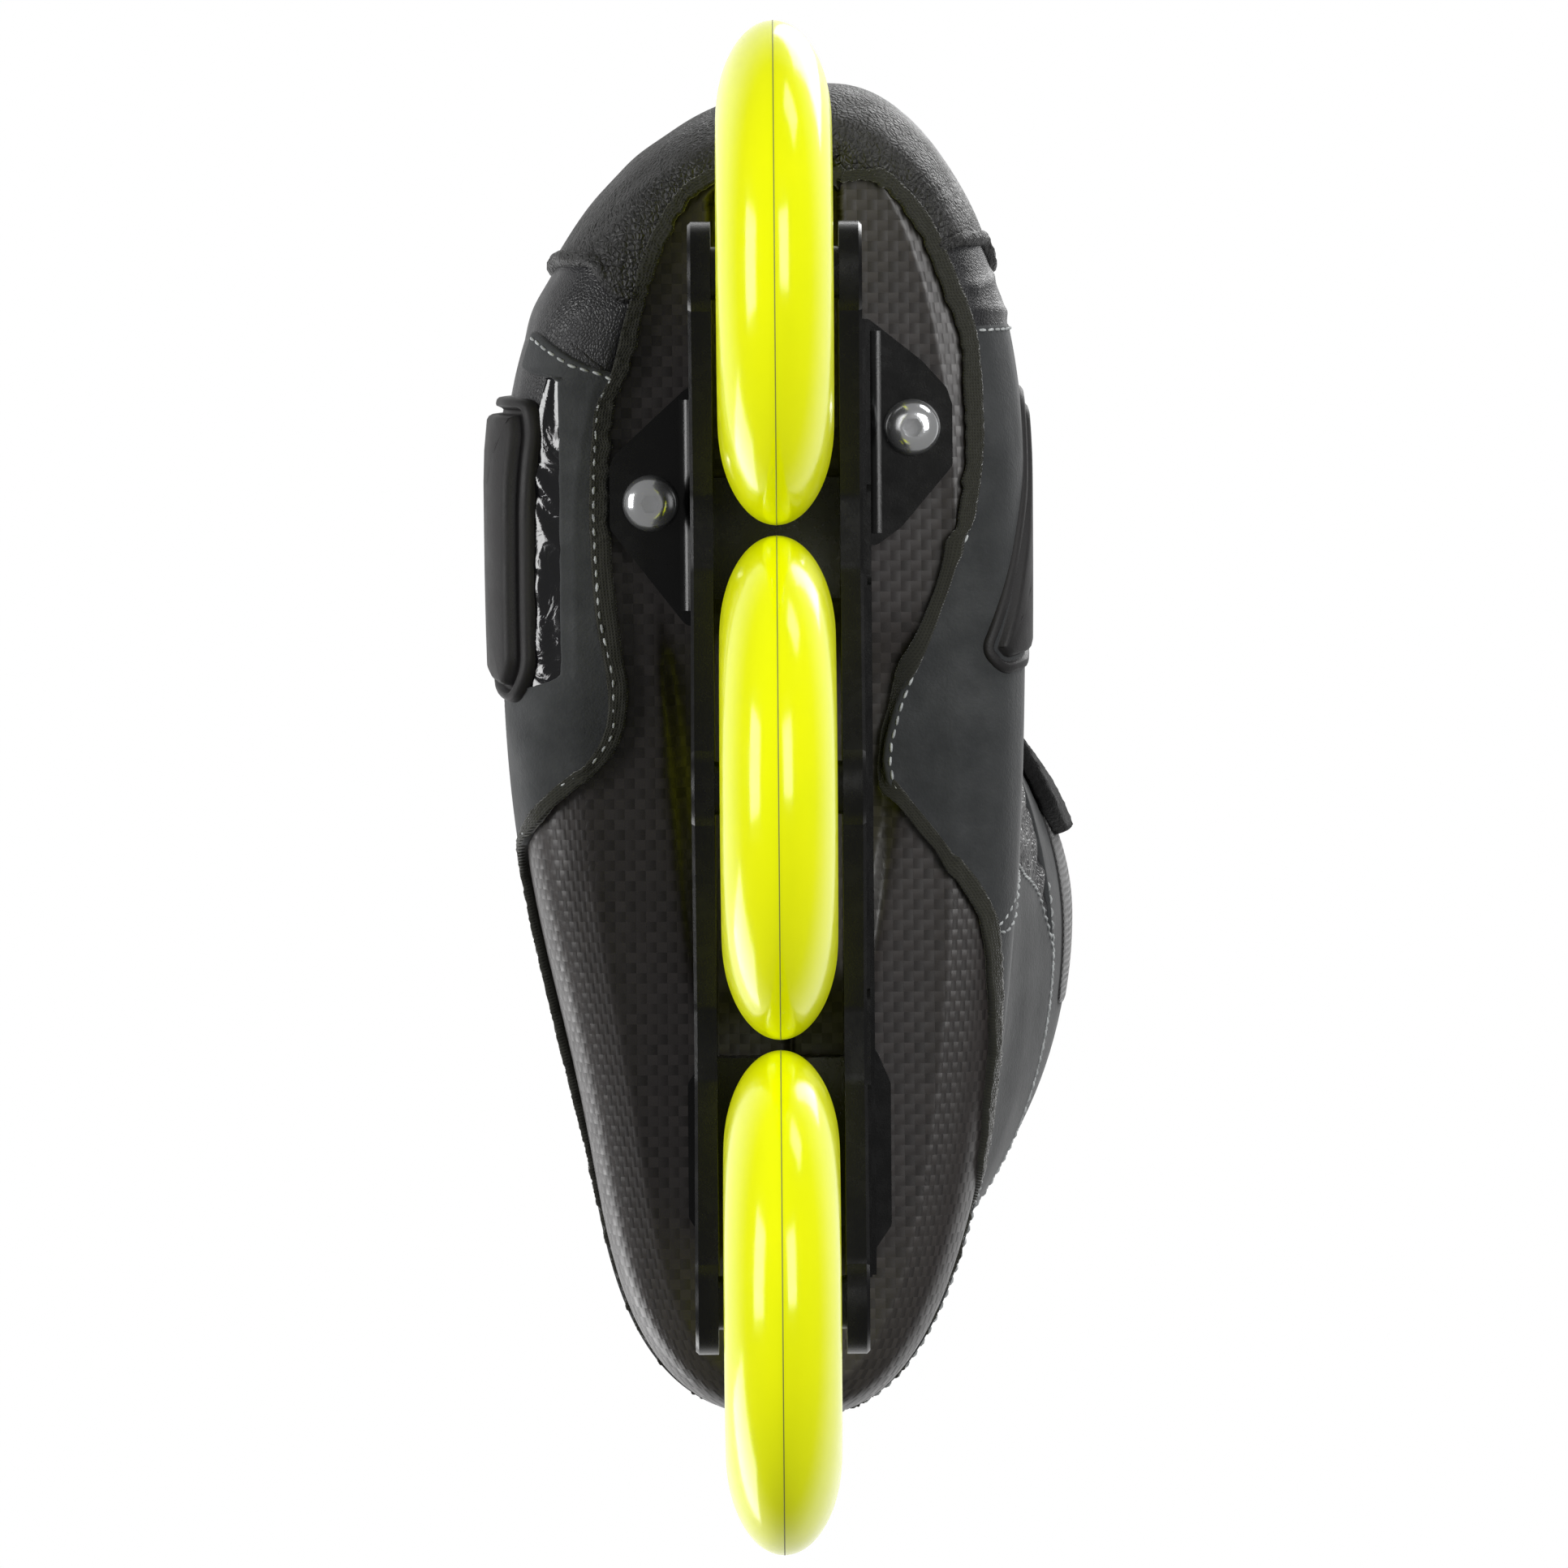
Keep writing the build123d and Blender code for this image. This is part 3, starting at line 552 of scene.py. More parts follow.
def carbonFinish():
    # plain weave of 2.3 mm tows under satin lacquer
    tow = 0.0023
    gloss = {"Coat_Weight": 0.15, "Coat_Roughness": 0.22, "Specular_IOR_Level": 0.35}
    finish = Finish("carbonWeave", (0.03, 0.026, 0.026), 0.38, **gloss)
    split = finish.node("ShaderNodeSeparateXYZ")
    finish.link(finish.place("UV", (1 / tow, 1 / tow, 1)), split.inputs[0])
    checker = finish.node("ShaderNodeTexChecker", Scale=1.0)
    finish.link(finish.place("UV", (1 / tow, 1 / tow, 1)), checker.inputs["Vector"])
    waves = []
    for axis in (0, 1):
        angle = finish.maths("MULTIPLY", split.outputs[axis], math.pi)
        waves.append(finish.maths("ABSOLUTE", finish.maths("SINE", angle)))
    warp = finish.maths("MULTIPLY", checker.outputs["Fac"], waves[0])
    weft = finish.maths("MULTIPLY", finish.maths("SUBTRACT", 1.0, checker.outputs["Fac"]), waves[1])
    weave = finish.maths("ADD", warp, weft)
    cell = finish.node("ShaderNodeTexWhiteNoise", noise_dimensions="2D")
    floorNode = finish.node("ShaderNodeVectorMath", operation="FLOOR")
    finish.link(finish.place("UV", (1 / tow, 1 / tow, 1)), floorNode.inputs[0])
    finish.link(floorNode.outputs[0], cell.inputs["Vector"])
    # painted sheen: the checker paints warp and weft squares lighter and darker in the base colour, as light falls on
    # the two tow directions; the white noise adds a random tone per tow
    paintedWeaveSheen = finish.maths("MULTIPLY", checker.outputs["Fac"], 0.5)
    byTow = finish.maths("MULTIPLY", cell.outputs["Value"], 0.5)
    paintedSheenAndTowTone = finish.maths("ADD", paintedWeaveSheen, byTow)
    base = finish.blendColour(paintedSheenAndTowTone, (0.0135, 0.0115, 0.011), (0.042, 0.037, 0.0355))
    # painted glints: fine light streaks along the tows, mixed into the base colour
    paintedFibreGlints = finish.noise(0.0004, 2.0, "UV", (1, 6, 1))
    finish.colour(finish.blendColour(finish.spread(paintedFibreGlints, 0.3, 0.7, 0.0, 0.25), base, (0.07, 0.062, 0.06)))
    finish.roughness(finish.spread(paintedSheenAndTowTone, 0, 1, 0.5, 0.34))
    finish.bump(weave, 0.00012, 0.55)
    finish.bump(finish.noise(0.02, 2.0), 0.0008, 0.3)
    return finish.material


def nubuckFinish(name, dark, light):
    finish = Finish(name, dark, 0.85, Sheen_Weight=0.12, Sheen_Roughness=0.5)
    patches = finish.noise(0.014, 4.0, rough=0.6)
    nap = finish.noise(0.0006, 2.0)
    finish.colour(finish.blendColour(finish.spread(patches, 0.3, 0.7), dark, light))
    finish.roughness(finish.spread(patches, 0.3, 0.7, 0.92, 0.72))
    finish.bump(nap, 0.00025, 0.5)
    finish.bump(finish.cells(0.0016), 0.0002, 0.25)
    return finish.material


def leatherFinish(name, colour, size, roughness, depth, wrinkle=0.0):
    finish = Finish(name, colour, roughness, Specular_IOR_Level=0.5)
    pebbles = finish.cells(size, "DISTANCE_TO_EDGE")
    finish.bump(finish.spread(pebbles, 0.0, 0.25), depth, 0.8)
    if wrinkle:
        folds = finish.noise(0.0035, 4.0, scale=(1, 0.45, 0.6), rough=0.65, distortion=1.2)
        finish.bump(folds, wrinkle, 0.7)
    wear = finish.noise(0.01, 3.0)
    lighter = tuple(channel * 1.9 for channel in colour)
    finish.colour(finish.blendColour(finish.spread(wear, 0.35, 0.7), colour, lighter))
    finish.roughness(finish.spread(wear, 0.3, 0.7, roughness - 0.05, roughness + 0.1))
    return finish.material


def patentFinish():
    finish = Finish("patentLeather", (0.005, 0.005, 0.006), 0.12, Coat_Weight=0.6, Coat_Roughness=0.05)
    finish.bump(finish.noise(0.007, 3.0, distortion=1.5), 0.0009, 0.4)
    return finish.material


def rubberFinish():
    finish = Finish("padRubber", (0.017, 0.016, 0.017), 0.62, Specular_IOR_Level=0.35)
    finish.bump(finish.noise(0.0005, 2.0), 0.00012, 0.5)
    scuff = finish.noise(0.012, 5.0, rough=0.7)
    finish.colour(finish.blendColour(finish.spread(scuff, 0.45, 0.75), (0.0125, 0.0118, 0.0122), (0.023, 0.0215, 0.022)))
    finish.roughness(finish.spread(scuff, 0.4, 0.7, 0.56, 0.72))
    return finish.material


def clothFinish(name, colour, size, roughness=0.9, sheen=0.4):
    # fine knit or weave from crossed waves
    finish = Finish(name, colour, roughness, Sheen_Weight=sheen, Sheen_Roughness=0.4)
    waves = []
    for axis in ("X", "Y"):
        wave = finish.node("ShaderNodeTexWave", bands_direction=axis, Scale=1 / size / 3.14, Distortion=1.0)
        finish.link(finish.place("UV"), wave.inputs["Vector"])
        waves.append(wave.outputs["Fac"])
    weave = finish.maths("MAXIMUM", *waves)
    finish.bump(weave, size * 0.35, 0.7)
    lighter = tuple(channel * 1.8 for channel in colour)
    finish.colour(finish.blendColour(finish.maths("MULTIPLY", weave, 0.6), colour, lighter))
    return finish.material


def fleeceFinish():
    gloss = {"Sheen_Weight": 0.15, "Sheen_Roughness": 0.5, "Specular_IOR_Level": 0.2}
    finish = Finish("loopPile", (0.005, 0.005, 0.005), 0.95, **gloss)
    tufts = finish.noise(0.0009, 4.0, rough=0.7)
    finish.bump(tufts, 0.0009, 0.9)
    finish.colour(finish.blendColour(finish.spread(tufts, 0.35, 0.7), (0.003, 0.003, 0.003), (0.012, 0.012, 0.0125)))
    return finish.material


def urethaneFinish():
    # neon cast urethane: greener deep down, yellow where it is thin and lit
    gloss = {"Coat_Weight": 0.1, "Coat_Roughness": 0.06, "Specular_IOR_Level": 0.35}
    finish = Finish("neonUrethane", (0.74, 0.77, 0.0), 0.16, **gloss)
    finish.shader.inputs["Subsurface Weight"].default_value = 0.35
    finish.shader.inputs["Subsurface Radius"].default_value = (1.0, 1.0, 0.05)
    finish.shader.inputs["Subsurface Scale"].default_value = 0.004
    cloud = finish.noise(0.02, 3.0)
    finish.colour(finish.blendColour(finish.spread(cloud, 0.3, 0.7), (0.72, 0.765, 0.0), (0.76, 0.785, 0.0)))
    finish.shader.inputs["Emission Color"].default_value = (0.9, 1.0, 0.0, 1)  # painted glow: steady emission brightens the tyres past what the lamps light, standing in for the day-glow pigment's fluorescence
    finish.shader.inputs["Emission Strength"].default_value = 0.15
    finish.bump(finish.noise(0.012, 2.0), 0.0003, 0.15)
    finish.roughness(finish.spread(finish.noise(0.004, 4.0), 0.3, 0.7, 0.12, 0.2))
    return finish.material


def metalFinish(name, colour, roughness, brushed=0.0, metallic=1.0):
    finish = Finish(name, colour, roughness, Metallic=metallic)
    wear = finish.noise(0.003, 4.0, rough=0.6)
    finish.roughness(finish.spread(wear, 0.3, 0.7, roughness * 0.8, roughness * 1.3))
    if brushed:
        finish.bump(finish.noise(0.0003, 2.0, scale=(1, 0.05, 1)), 0.00004, brushed)
    return finish.material


def anodisedFinish():
    finish = Finish("blackAnodised", (0.003, 0.003, 0.003), 0.25, Specular_IOR_Level=0.4)
    wear = finish.noise(0.006, 5.0, rough=0.65)
    finish.colour(finish.blendColour(finish.spread(wear, 0.5, 0.75), (0.0022, 0.0022, 0.0021), (0.005, 0.005, 0.0048)))
    finish.roughness(finish.spread(wear, 0.3, 0.7, 0.22, 0.31))
    finish.bump(finish.noise(0.0004, 2.0), 0.00004, 0.5)
    return finish.material


def plasticFinish(name, colour, roughness):
    finish = Finish(name, colour, roughness)
    finish.bump(finish.noise(0.001, 3.0), 0.00006, 0.4)
    finish.roughness(finish.spread(finish.noise(0.01, 3.0), 0.3, 0.7, roughness, roughness + 0.12))
    return finish.material


def threadFinish():
    finish = Finish("stitchThread", (0.42, 0.43, 0.43), 0.7)
    finish.bump(finish.noise(0.0003, 2.0), 0.0001, 0.8)
    twist = finish.spread(finish.noise(0.002), 0.35, 0.65)
    finish.colour(finish.blendColour(twist, (0.25, 0.26, 0.26), (0.5, 0.52, 0.52)))
    return finish.material


carbonWeave = carbonFinish()
greyNubuck = nubuckFinish("greyNubuck", (0.022, 0.024, 0.0255), (0.034, 0.0365, 0.038))
toeLeather = leatherFinish("toeLeather", (0.0125, 0.0122, 0.0118), 0.0013, 0.5, 0.0003, 0.0014)
smoothLeather = leatherFinish("smoothLeather", (0.008, 0.008, 0.009), 0.0008, 0.42, 0.0001)
softLeather = leatherFinish("softLeather", (0.012, 0.012, 0.013), 0.0014, 0.38, 0.0003, 0.0006)
patentLeather = patentFinish()
padRubber = rubberFinish()
liningCloth = clothFinish("liningCloth", (0.018, 0.018, 0.02), 0.0012)
collarCloth = clothFinish("collarCloth", (0.02, 0.02, 0.022), 0.0018)
tongueCloth = clothFinish("tongueCloth", (0.018, 0.018, 0.02), 0.0024)
insoleCloth = clothFinish("insoleCloth", (0.03, 0.03, 0.033), 0.0015)
webbingCloth = clothFinish("webbingCloth", (0.012, 0.012, 0.013), 0.0014, 0.8)
laceCloth = clothFinish("laceCloth", (0.013, 0.013, 0.014), 0.0009, 0.75)
rawEdge = clothFinish("rawEdge", (0.018, 0.018, 0.013), 0.0007, 0.95)
hookTape = clothFinish("hookTape", (0.012, 0.012, 0.012), 0.0016, 0.7)
loopPile = fleeceFinish()
neonUrethane = urethaneFinish()
seamUrethane = plasticFinish("seamUrethane", (0.22, 0.24, 0.03), 0.5)
corePlastic = plasticFinish("corePlastic", (0.55, 0.55, 0.53), 0.4)
cagePlastic = plasticFinish("cagePlastic", (0.12, 0.1, 0.07), 0.5)
zincSteel = metalFinish("zincSteel", (0.9, 0.91, 0.92), 0.15, 0.2, 0.93)
bearingSteel = metalFinish("bearingSteel", (0.7, 0.7, 0.71), 0.16, 0.3)
axleSteel = metalFinish("axleSteel", (0.22, 0.22, 0.23), 0.32, 0.4)
blackAnodised = anodisedFinish()
blackEnamel = metalFinish("blackEnamel", (0.02, 0.02, 0.022), 0.3, metallic=0.0)
stitchThread = threadFinish()
print("materials ready")

# finishes on the carried-over solids
cadFinishes = {
    "frame": blackAnodised,
    "front_mount_bolts": zincSteel,
    "rear_mount_bolt": zincSteel,
    "sole_inserts": zincSteel,
    "eyelets": blackEnamel,
}
for place in ("front", "middle", "rear"):
    cadFinishes[f"{place}_wheel_core"] = corePlastic
    cadFinishes[f"{place}_axle"] = axleSteel
    cadFinishes[f"{place}_bearing_spacer"] = bearingSteel
    cadFinishes[f"{place}_bearing_inner_rings"] = bearingSteel
    cadFinishes[f"{place}_bearing_outer_rings"] = bearingSteel
    cadFinishes[f"{place}_bearing_shields"] = axleSteel
    cadFinishes[f"{place}_bearing_balls"] = bearingSteel
    cadFinishes[f"{place}_bearing_cages"] = cagePlastic
for node, finish in cadFinishes.items():
    solid = bpy.data.objects[node]
    solid.data.materials.clear()
    solid.data.materials.append(finish)

# wheels
tyre = {"halfWidth": 12.7, "depth": 23.5, "shoulder": 1.5, "rim": 0.6, "segments": 224, "profileSteps": 56}
partingLine = [(-0.22, -0.4), (-0.12, 0.03), (0.0, 0.07), (0.12, 0.03), (0.22, -0.4)]  # x, and rise over the tread


def spunPiece(name, place, profile, material):
    # a profile of (x, radius) turned about one wheel's axle
    low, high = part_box(f"{place}_wheel_tyre")
    centreY, centreZ = (low.y + high.y) / 2 / mm, (low.z + high.z) / 2 / mm
    vertices = []
    for step in range(tyre["segments"]):
        turn = 2 * math.pi * step / tyre["segments"]
        for x, r in profile:
            vertices.append((x, centreY + r * math.sin(turn), centreZ + r * math.cos(turn)))
    faces = ringFaces(tyre["segments"], len(profile), closed=True)
    piece = newPiece(name, np.array(vertices) * mm, faces, material, f"{place}_wheel")
    return piece


def makeTyre(place):
    inner = wheelRadius - tyre["depth"]
    profile = []
    for step in range(tyre["profileSteps"] + 1):
        angle = math.pi * step / tyre["profileSteps"]
        r = inner + tyre["shoulder"] + (tyre["depth"] - tyre["shoulder"]) * math.sin(angle)
        profile.append((-tyre["halfWidth"] * math.cos(angle), r))
    edge = tyre["halfWidth"] - tyre["rim"]
    profile = [(-edge, inner)] + profile + [(edge, inner)]
    piece = spunPiece(f"{place}_wheel_tyre_cast", place, profile, neonUrethane)
    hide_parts(f"{place}_wheel_tyre")
    tidyNormals(piece)
    profile = [(x, wheelRadius + rise) for x, rise in partingLine]
    spunPiece(f"{place}_wheel_parting_line", place, profile, seamUrethane)


for place in ("front", "middle", "rear"):
    makeTyre(place)
print("wheels ready")


# carbon sole and heel cup
carbonSole = {"thick": 2.4, "rim": 0.7, "underUppers": 1.2, "stepsUp": 64}


def makeCarbonShell():
    quarters = ((0, 1, 90), (1, 2, 130), (2, 3, 130), (3, 4, 90))
    turns = np.concatenate([np.linspace(first, last, count, endpoint=False) for first, last, count in quarters])
    edge = carbonGirth(turns)
    steps = np.linspace(0, 1, carbonSole["stepsUp"])
    girth = -boot["spineReach"] + (edge[:, None] + carbonSole["underUppers"] + boot["spineReach"]) * steps[None, :]
    x, y, h = ringPoint(turns[:, None], girth)
    side = np.where(turns < 2, 1.0, -1.0)[:, None]
    acrossUv = np.where(girth < 0, x, x + side * girth)
    uv = np.stack([y, acrossUv], -1)
    piece, _, _ = skinPiece(
        "carbon_shell_moulding", (x, y, h), carbonWeave, 0.0, carbonSole["thick"], carbonSole["rim"], True, uv=uv
    )
    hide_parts("carbon_shell")


makeCarbonShell()


fabricEdge = {"width": 1.5, "widerAtHeel": 2.0, "stand": 0.55, "standAtHeel": 1.9, "ragged": 0.5, "torn": 0.55}


def makeRawEdge():
    # glued fabric edge that shows along the top of the carbon, ragged
    turns = np.linspace(0, 4, 1400, endpoint=False)
    base = carbonGirth(turns)
    ragged = fabricEdge["ragged"] * np.interp(turns, np.linspace(0, 4, 300), np.random.RandomState(3).uniform(-1, 1, 300))
    atHeel = np.clip((0.66 - np.abs(turns - 2.0)) / 0.2, 0, 1)
    torn = fabricEdge["torn"] * np.interp(turns, np.linspace(0, 4, 420), np.random.RandomState(8).uniform(-1, 1, 420))
    width = fabricEdge["width"] + fabricEdge["widerAtHeel"] * atHeel + ragged
    girth = np.stack([base - width + step * (width + 2.5) for step in np.linspace(0, 1, 7)], 1)
    x, y, h = ringPoint(turns[:, None], girth)
    fuzz = np.random.RandomState(5).uniform(-0.25, 0.25, girth.shape)
    stand = fuzz + ((fabricEdge["standAtHeel"] + torn) * atHeel)[:, None]
    piece, _, _ = skinPiece("glued_fabric_edge", (x, y, h), rawEdge, fabricEdge["stand"], 2.8, 0.6, True, wobble=stand)


makeRawEdge()


# toe cap, vamp and side panels
upper = {
    "heelPanelY": 45.0,
    "lift": 1.1,
    "throatStart": -82.0,
}


def heightLine(y):
    return np.interp(y, [-70, 45, 152], [98, 113, 116])


def heelSeamY(girth, side):
    # where the quarter meets the heel panel: it leans forward on the medial side
    return 33 - 11 * slant((girth - 6) / 2) if side > 0 else upper["heelPanelY"] + 0 * girth


def quarterTop(y, side):
    # the medial quarter dips at the ankle, over the soft gusset
    dip = np.clip((y + 16) / 14, 0, 1)
    whole = heightLine(y)
    return whole - (whole - 62) * dip * dip * (3 - 2 * dip) if side > 0 else whole


def heelTop(y, side):
    return np.minimum(heightLine(y), np.interp(y, [19, 25, 31, 46], [56, 82, 99, 114])) if side > 0 else heightLine(y)


def crestGirth(y):
    # girth where the slice at y closes over the middle line
    tries = np.linspace(20, girths[-1], 2400)
    return tries[int(np.argmax(bootLimits(tries)[1] >= y))]


def highGirth(y, side, halfGap):
    # top of a side panel: the throat's edge or the cuff line
    tries = np.linspace(40, girthAtHeight(quarterTop(y, side)), 900)
    x = slicePoint(y, tries, side)[0]
    closed = np.nonzero((x - boot["throatX"]) * side <= halfGap + 0.01)[0]
    top = tries[closed[0]] if len(closed) else tries[-1]
    return min(top, crestGirth(y)) if y < -50 else top


def slant(girth):
    share = np.clip(girth / 14, 0, 1)
    return share * share * (3 - 2 * share)


def toeSeamY(girth, side):
    if side < 0:
        return -110 - 8 * slant(girth) + 3 * slant(girth - 30)
    return -119 - 3 * slant(girth) + 7 * slant(girth - 30)


def quarterFrontY(girth, side):
    low = -93 - 9 * slant(girth) if side < 0 else -103.0 + 0 * girth
    return low + 14 * np.clip((girth - 30) / 40, 0, 1)


toeCap = {"topY": -114.5, "thick": 2.8, "rim": 1.2, "roll": 1.0, "waves": 0.18, "creases": 0.10}


def makeToeCap():
    top = crestGirth(toeCap["topY"])
    ts = 1 - (1 - np.linspace(0, 1, 90)) ** 1.6
    ss = borderSteps(230, 150, 1.0) * 2 - 1
    girthRows = np.zeros((len(ss), len(ts)))
    turnRows = np.zeros_like(girthRows)
    medial = ss >= 0
    for j, t in enumerate(ts):
        guess = np.full(len(ss), 20.0)
        for _ in range(5):  # the side seam's turn depends on the girth, and the girth on the turn
            reachMedial = turnOf(toeSeamY(guess, 1), guess, 1)
            reachLateral = 4 - turnOf(toeSeamY(guess, -1), guess, -1)
            turn = np.where(medial, ss * reachMedial, ss * reachLateral)
            low = carbonGirth(turn) + 0.4
            guess = low + (top - low) * t
        girthRows[:, j], turnRows[:, j] = guess, turn
    local = ringPoint(turnRows, girthRows)
    x, y, h = local
    roll = toeCap["roll"] * np.exp(-(((ts * 60 - 5) / 5) ** 2))[None, :]  # the leather swells just past its glued edge
    waves = toeCap["waves"] * np.sin(x / 4.1 + 2 * np.sin(y / 9)) * np.sin(h / 6.3 + y / 5.7)
    creases = toeCap["creases"] * np.sin((x * 0.8 + y * 1.1) / 0.9 + 3 * np.sin(x / 7) + 2 * np.sin(y / 5))
    wobble = waves + creases * np.exp(-(((h - 6) / 7) ** 2)) + roll
    lift, thick, rim = upper["lift"] + 0.3, toeCap["thick"], toeCap["rim"]
    piece, _, _ = skinPiece("toe_cap_leather", local, toeLeather, lift, thick, rim, outward=(0, -1, 0), wobble=wobble)
    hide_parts("toe_cap")


def bandSlices(frontOf, rearOf, stepsAlong, stepsUp):
    # strips across the boot from the lateral edge over the top to the medial edge
    shares = borderSteps(20, stepsAlong, 0.8)
    up = 1 - (1 - np.linspace(0, 1, stepsUp)) ** 1.7
    sides = []
    for side in (-1, 1):
        grid = np.zeros((len(shares), stepsUp, 3))
        low = edgeGirthAt((frontOf(0.0, side) + rearOf(0.0, side)) / 2, side)
        for i, share in enumerate(shares):
            girth = low + (crestGirth(-107) - low) * up
            y = frontOf(girth, side) * (1 - share) + rearOf(girth, side) * share
            girth = low + (crestGirth(y[-1]) - low) * up
            grid[i] = np.stack(slicePoint(y, girth, side), -1)
        sides.append(grid)
    whole = np.concatenate([sides[0], sides[1][:, ::-1][:, 1:]], 1)
    return whole[..., 0], whole[..., 1], whole[..., 2]


vamp = {"lift": 0.2, "thick": 2.2, "bulge": 0.9, "folds": ((0.5, 111, 0.1, 1.3), (0.45, 106.5, -0.05, 1.1))}


def makeVamp():
    def front(girth, side):
        return toeSeamY(girth, side) - 3

    def rear(girth, side):
        return quarterFrontY(girth, side) + 5

    local = bandSlices(front, rear, 26, 80)
    x, y, h = local
    wobble = vamp["bulge"] * np.exp(-(((y + 106) / 6) ** 2))
    for depth, ahead, lean, width in vamp["folds"]:  # only on the medial side
        wobble = wobble + depth * np.exp(-(((y + ahead + lean * h) / width) ** 2)) * (x > 20)
    lift, thick = vamp["lift"], vamp["thick"]
    piece, _, _ = skinPiece("vamp_leather", local, smoothLeather, lift, thick, 0.8, outward=(0, 0, 1), wobble=wobble)
    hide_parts("vamp")


toeLip = {"half": 1.6, "lift": 2.5, "thick": 3.0, "ragged": 0.25}


def makeToeLip():
    # rolled lip at the toe cap's back edge
    def front(girth, side):
        return toeSeamY(girth, side) - toeLip["half"]

    def rear(girth, side):
        return toeSeamY(girth, side) + toeLip["half"]

    local = bandSlices(front, rear, 7, 80)
    ragged = toeLip["ragged"] * np.random.RandomState(21).uniform(-1, 1, local[0].shape)
    lift, thick = toeLip["lift"], toeLip["thick"]
    piece, _, _ = skinPiece("toe_cap_lip", local, toeLeather, lift, thick, 1.5, outward=(0, 0, 1), wobble=ragged)


def sidePanel(side, frontOf, rearOf, highOf, stepsAlong, stepsUp):
    # panel up from the carbon edge, its front and rear edges by girth and its high edge by y
    along = borderSteps(150, stepsAlong, 1.0)
    rise = borderSteps(90, stepsUp, 1.0)
    girthGuess = 70 * rise
    ys = frontOf(girthGuess, side)[None, :] * (1 - along[:, None]) + rearOf(girthGuess, side)[None, :] * along[:, None]
    keys = np.arange(math.floor(ys.min()) - 1, math.ceil(ys.max()) + 2, 0.75)
    lows = np.array([edgeGirthAt(key, side) for key in keys])
    highs = np.array([highOf(key) for key in keys])
    low, high = np.interp(ys, keys, lows), np.interp(ys, keys, highs)
    return slicePoint(ys, low + (high - low) * rise[None, :], side)


def makeQuarters():
    def rear(girth, side):
        return heelSeamY(girth, side) + 1.5

    def throatEdge(side):
        def top(y):
            gap = boot["throatHalf"] * np.clip((y - upper["throatStart"] + 4) / 8, 0, 1)
            return highGirth(y, side, gap)

        return top

    local = sidePanel(1, quarterFrontY, rear, throatEdge(1), 110, 64)
    lift = upper["lift"]
    piece, outside, normals = skinPiece("medial_quarter_panel", local, greyNubuck, lift, 2.2, 0.9, outward=(1, 0, 0))
    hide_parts("medial_quarter")
    sewBorders(outside, normals, (("low", 2.6), ("start", 2.4), ("high", 2.4), ("end", 2.2)))
    local = sidePanel(-1, quarterFrontY, rear, throatEdge(-1), 110, 64)
    piece, outside, normals = skinPiece("lateral_quarter_panel", local, smoothLeather, 0.5, 2.0, 0.9, outward=(-1, 0, 0))
    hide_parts("lateral_quarter")
    sewBorders(outside, normals, (("high", 2.4), ("end", 2.2)))

    def overlayTop(y):
        # full underside width at the front lip, a narrow band beside the patent strip, then the whole side
        narrow = girthAtX(y, -48.3, -1)
        ahead = np.clip((-91 - y) / 3, 0, 1)
        behind = np.clip((y + 26) / 16, 0, 1)
        wide = float(girthAtHeight(14)) if y < -50 else float(girthAtHeight(74))
        share = ahead if y < -50 else behind * behind * (3 - 2 * behind)
        return narrow + (wide - narrow) * share

    def overlayFront(girth, side):
        return quarterFrontY(girth * 0.2, side) + 0.2

    local = sidePanel(-1, overlayFront, rear, overlayTop, 190, 40)
    piece, outside, normals = skinPiece("lateral_nubuck_overlay", local, greyNubuck, 1.7, 1.7, 0.8, outward=(-1, 0, -1))
    sewBorders(outside, normals, (("low", 2.6), ("start", 2.4)))


gusset = {"frontY": -24, "rearY": 54, "low": 52, "high": 117, "thick": 1.8}


def makeGusset():
    # soft wrinkled leather in the dip of the medial quarter, under the cuff
    ys = np.linspace(gusset["frontY"], gusset["rearY"], 150)[:, None]
    girth = np.linspace(girthAtHeight(gusset["low"]), girthAtHeight(gusset["high"]), 70)[None, :]
    local = slicePoint(ys, girth, 1)
    folds = 0.45 * np.sin(ys / 1.5 + girth / 9 + 1.6 * np.sin(girth / 6)) * np.sin(girth / 11 + ys / 7)
    folds += 0.2 * np.sin(girth / 1.3 + ys / 2.2)
    piece, _, _ = skinPiece(
        "ankle_gusset_leather", local, softLeather, -0.1, gusset["thick"], 0.8, outward=(1, 0, 0), wobble=folds
    )


def makeHeelPanel():
    heights = borderSteps(100, 40, 1.0)
    sweep = borderSteps(240, 110, 1.0)
    turns = np.zeros((len(sweep), len(heights)))
    girthRows = np.zeros_like(turns)
    for i, share in enumerate(sweep):
        girth = 10 + 90 * heights
        for _ in range(8):  # the seam's turn depends on the girth, and the girth on the turn
            first = turnOf(heelSeamY(girth, 1) - 1.5, girth, 1)
            last = turnOf(heelSeamY(girth, -1) - 1.5, girth, -1)
            turn = first + (last - first) * share
            low = carbonGirth(turn) - 0.5
            _, y, _ = ringPoint(turn, girth)
            high = girthAtHeight(heelTop(y[-1], 1 if share < 0.5 else -1))
            girth = (girth + low + (high - low) * heights) / 2
        turns[i], girthRows[i] = turn, girth
    local = ringPoint(turns, girthRows)
    lift = upper["lift"] - 0.25
    piece, outside, normals = skinPiece("heel_panel_nubuck", local, greyNubuck, lift, 2.2, 0.9, outward=(0, 1, 0))
    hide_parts("heel_panel")
    line, ups = lineInside(outside, normals, "low", 2.6)
    sewn = int(len(line) * 0.56)  # the medial side and the heel only
    stitch(line[:sewn], ups[:sewn])
    sewBorders(outside, normals, (("high", 2.4), ("start", 2.4)))


